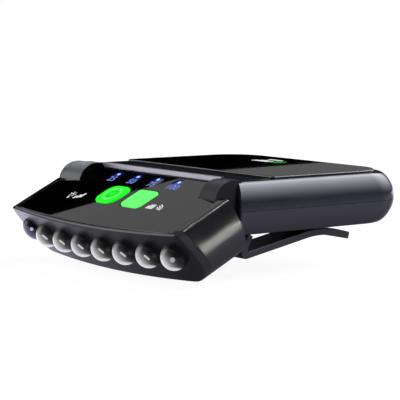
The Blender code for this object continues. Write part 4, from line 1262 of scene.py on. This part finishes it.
def make_world():
    """A dark studio with soft boxes; what the camera sees behind the object is white."""
    world = bpy.data.worlds.new("studio")
    SCENE.world = world
    world.use_nodes = True
    tree = world.node_tree
    tree.nodes.clear()
    direction = tree.nodes.new("ShaderNodeTexCoord").outputs["Generated"]
    to_lit_side = dot(tree, direction, LIT_SIDE)
    ambient = product(tree, remap(tree, to_lit_side, -0.3, 0.3, 0.02, 1.0), AMBIENT)
    height = curve(tree, dot(tree, direction, (0, 0, 1)), BOX_RISE)
    width = remap(tree, dot(tree, direction, BOX_ACROSS), 0.05, 0.19, 0.0, 1.0)
    front = remap(tree, to_lit_side, 0.1, 0.4, 0.0, 1.0)
    beams = [((1.0, 1.0, 1.0), ambient), (BOX_COLOR, product(tree, height, width, front))]
    for axis, start, full, strength, sharpness, color in LOBES:
        ease = remap(tree, dot(tree, direction, Vector(axis).normalized()),
                     math.cos(math.radians(start)), math.cos(math.radians(full)), 0.0, 1.0)
        beams.append((color, product(tree, math_node(tree, "POWER", ease, sharpness), strength)))
    total = None
    for color, strength in beams:
        beam = node(tree, "ShaderNodeBackground", Color=(*color, 1), Strength=strength).outputs[0]
        if total:
            both = tree.nodes.new("ShaderNodeAddShader")
            tree.links.new(total, both.inputs[0])
            tree.links.new(beam, both.inputs[1])
            beam = both.outputs[0]
        total = beam
    backdrop = node(tree, "ShaderNodeBackground", Color=(1, 1, 1, 1), Strength=1.0)
    ray = tree.nodes.new("ShaderNodeLightPath")
    mix = node(tree, "ShaderNodeMixShader", Fac=ray.outputs["Is Camera Ray"])
    tree.links.new(total, mix.inputs[1])
    tree.links.new(backdrop.outputs[0], mix.inputs[2])
    node(tree, "ShaderNodeOutputWorld", Surface=mix.outputs[0])


def make_floor():
    material, tree, shader = new_material("floor")
    ray = tree.nodes.new("ShaderNodeLightPath")
    spread = node(tree, "ShaderNodeSeparateXYZ", Vector=position(tree)).outputs["X"]
    seen = node(tree, "ShaderNodeMix", Factor=ray.outputs["Is Camera Ray"])
    feed(tree, seen.inputs[2], curve(tree, spread, FLOOR_GLOW))
    feed(tree, seen.inputs[3], FLOOR_SEEN)
    tint = blend_colors(tree, ray.outputs["Is Camera Ray"], (1.0, 0.96, 1.22), (1.0, 1.0, 1.0))
    set_inputs(tree, shader, Base_Color=(0.16, 0.16, 0.165, 1), Roughness=0.9, Emission_Color=tint,
               Emission_Strength=seen.outputs[0])
    material.cycles.emission_sampling = "NONE"
    form = bmesh.new()
    bmesh.ops.create_circle(form, cap_ends=True, segments=64, radius=FLOOR_RADIUS)
    mesh = moved(finish_form(form), at(0, 0, CAD_BOUNDS[0][2] - FLOOR_GAP))
    mesh.materials.append(material)
    add_object("floor", mesh)


def make_camera():
    camera = bpy.data.cameras.new("camera")
    camera.sensor_width = 36.0
    camera.lens = CAMERA_LENS
    camera.clip_start = 0.01
    camera.clip_end = 50.0
    eye = add_object("camera", camera)
    roll = math.radians(CAMERA_ROLL)
    up = CAMERA_BACK.cross(CAMERA_RIGHT)
    right = CAMERA_RIGHT * math.cos(roll) + up * math.sin(roll)
    eye.matrix_world = axes_at(right, CAMERA_BACK.cross(right), CAMERA_BACK, CAMERA_AT)
    SCENE.camera = eye


def reflection_card(name, place, height, corners, reach, strength):
    """A glowing card that the camera finds in a glossy panel, over the panel area with these corners.

    Each corner lies on the ray that leaves the mirrored camera through that point of the panel.
    """
    eye = SCENE.camera.matrix_world.translation
    level = place @ Vector((0, 0, height))
    normal = (place.to_3x3() @ Vector((0, 0, 1))).normalized()
    mirrored = eye - 2 * (eye - level).dot(normal) * normal
    points = []
    for x, y in corners:
        ray = place @ Vector((x, y, height)) - mirrored
        points.append(mirrored + ray.normalized() * (ray.length + reach))
    mesh = bpy.data.meshes.new(name)
    mesh.from_pydata(points, [], [range(len(points))])
    material, tree, shader = new_material(name)
    set_inputs(tree, shader, Base_Color=(0, 0, 0, 1), Specular_IOR_Level=0.0, Emission_Color=(1, 1, 1, 1),
               Emission_Strength=strength)
    material.cycles.emission_sampling = "NONE"
    mesh.materials.append(material)
    card = add_object(name, mesh)
    card.visible_camera = card.visible_diffuse = card.visible_shadow = False


def make_soft_box(name, middle, direction, distance, size, power, color, pieces):
    """A strip light that lights only the pieces named, its length along the head's."""
    light = bpy.data.lights.new(name, "AREA")
    light.shape = "RECTANGLE"
    light.size, light.size_y = size
    light.energy = power
    light.color = color
    light.use_shadow = False
    light.cycles.use_multiple_importance_sampling = False
    lamp = add_object(name, light)
    back = Vector(direction).normalized()
    length = (HEAD.to_3x3() @ Vector((0, 1, 0))).normalized()
    length = (length - length.dot(back) * back).normalized()
    lamp.matrix_world = axes_at(length, back.cross(length), back, middle + back * distance)
    lit = bpy.data.collections.new(f"{name}_pieces")
    for piece_name in pieces:
        lit.objects.link(bpy.data.objects[piece_name])
    lamp.light_linking.receiver_collection = lit


make_shells()
make_body_panel()
make_deck()
make_trim()
make_clip()
make_housing()
make_bezel()
make_domes()
make_glints()
make_head_panel()
make_buttons()
make_marks()
make_plain_looks()
make_world()
make_floor()
make_camera()
for name, values in CARDS.items():
    reflection_card(name, *values)
for number, values in enumerate(SOFT_BOXES):
    make_soft_box(f"soft_box_{number}", *values)
SCENE.view_settings.view_transform = "Standard"
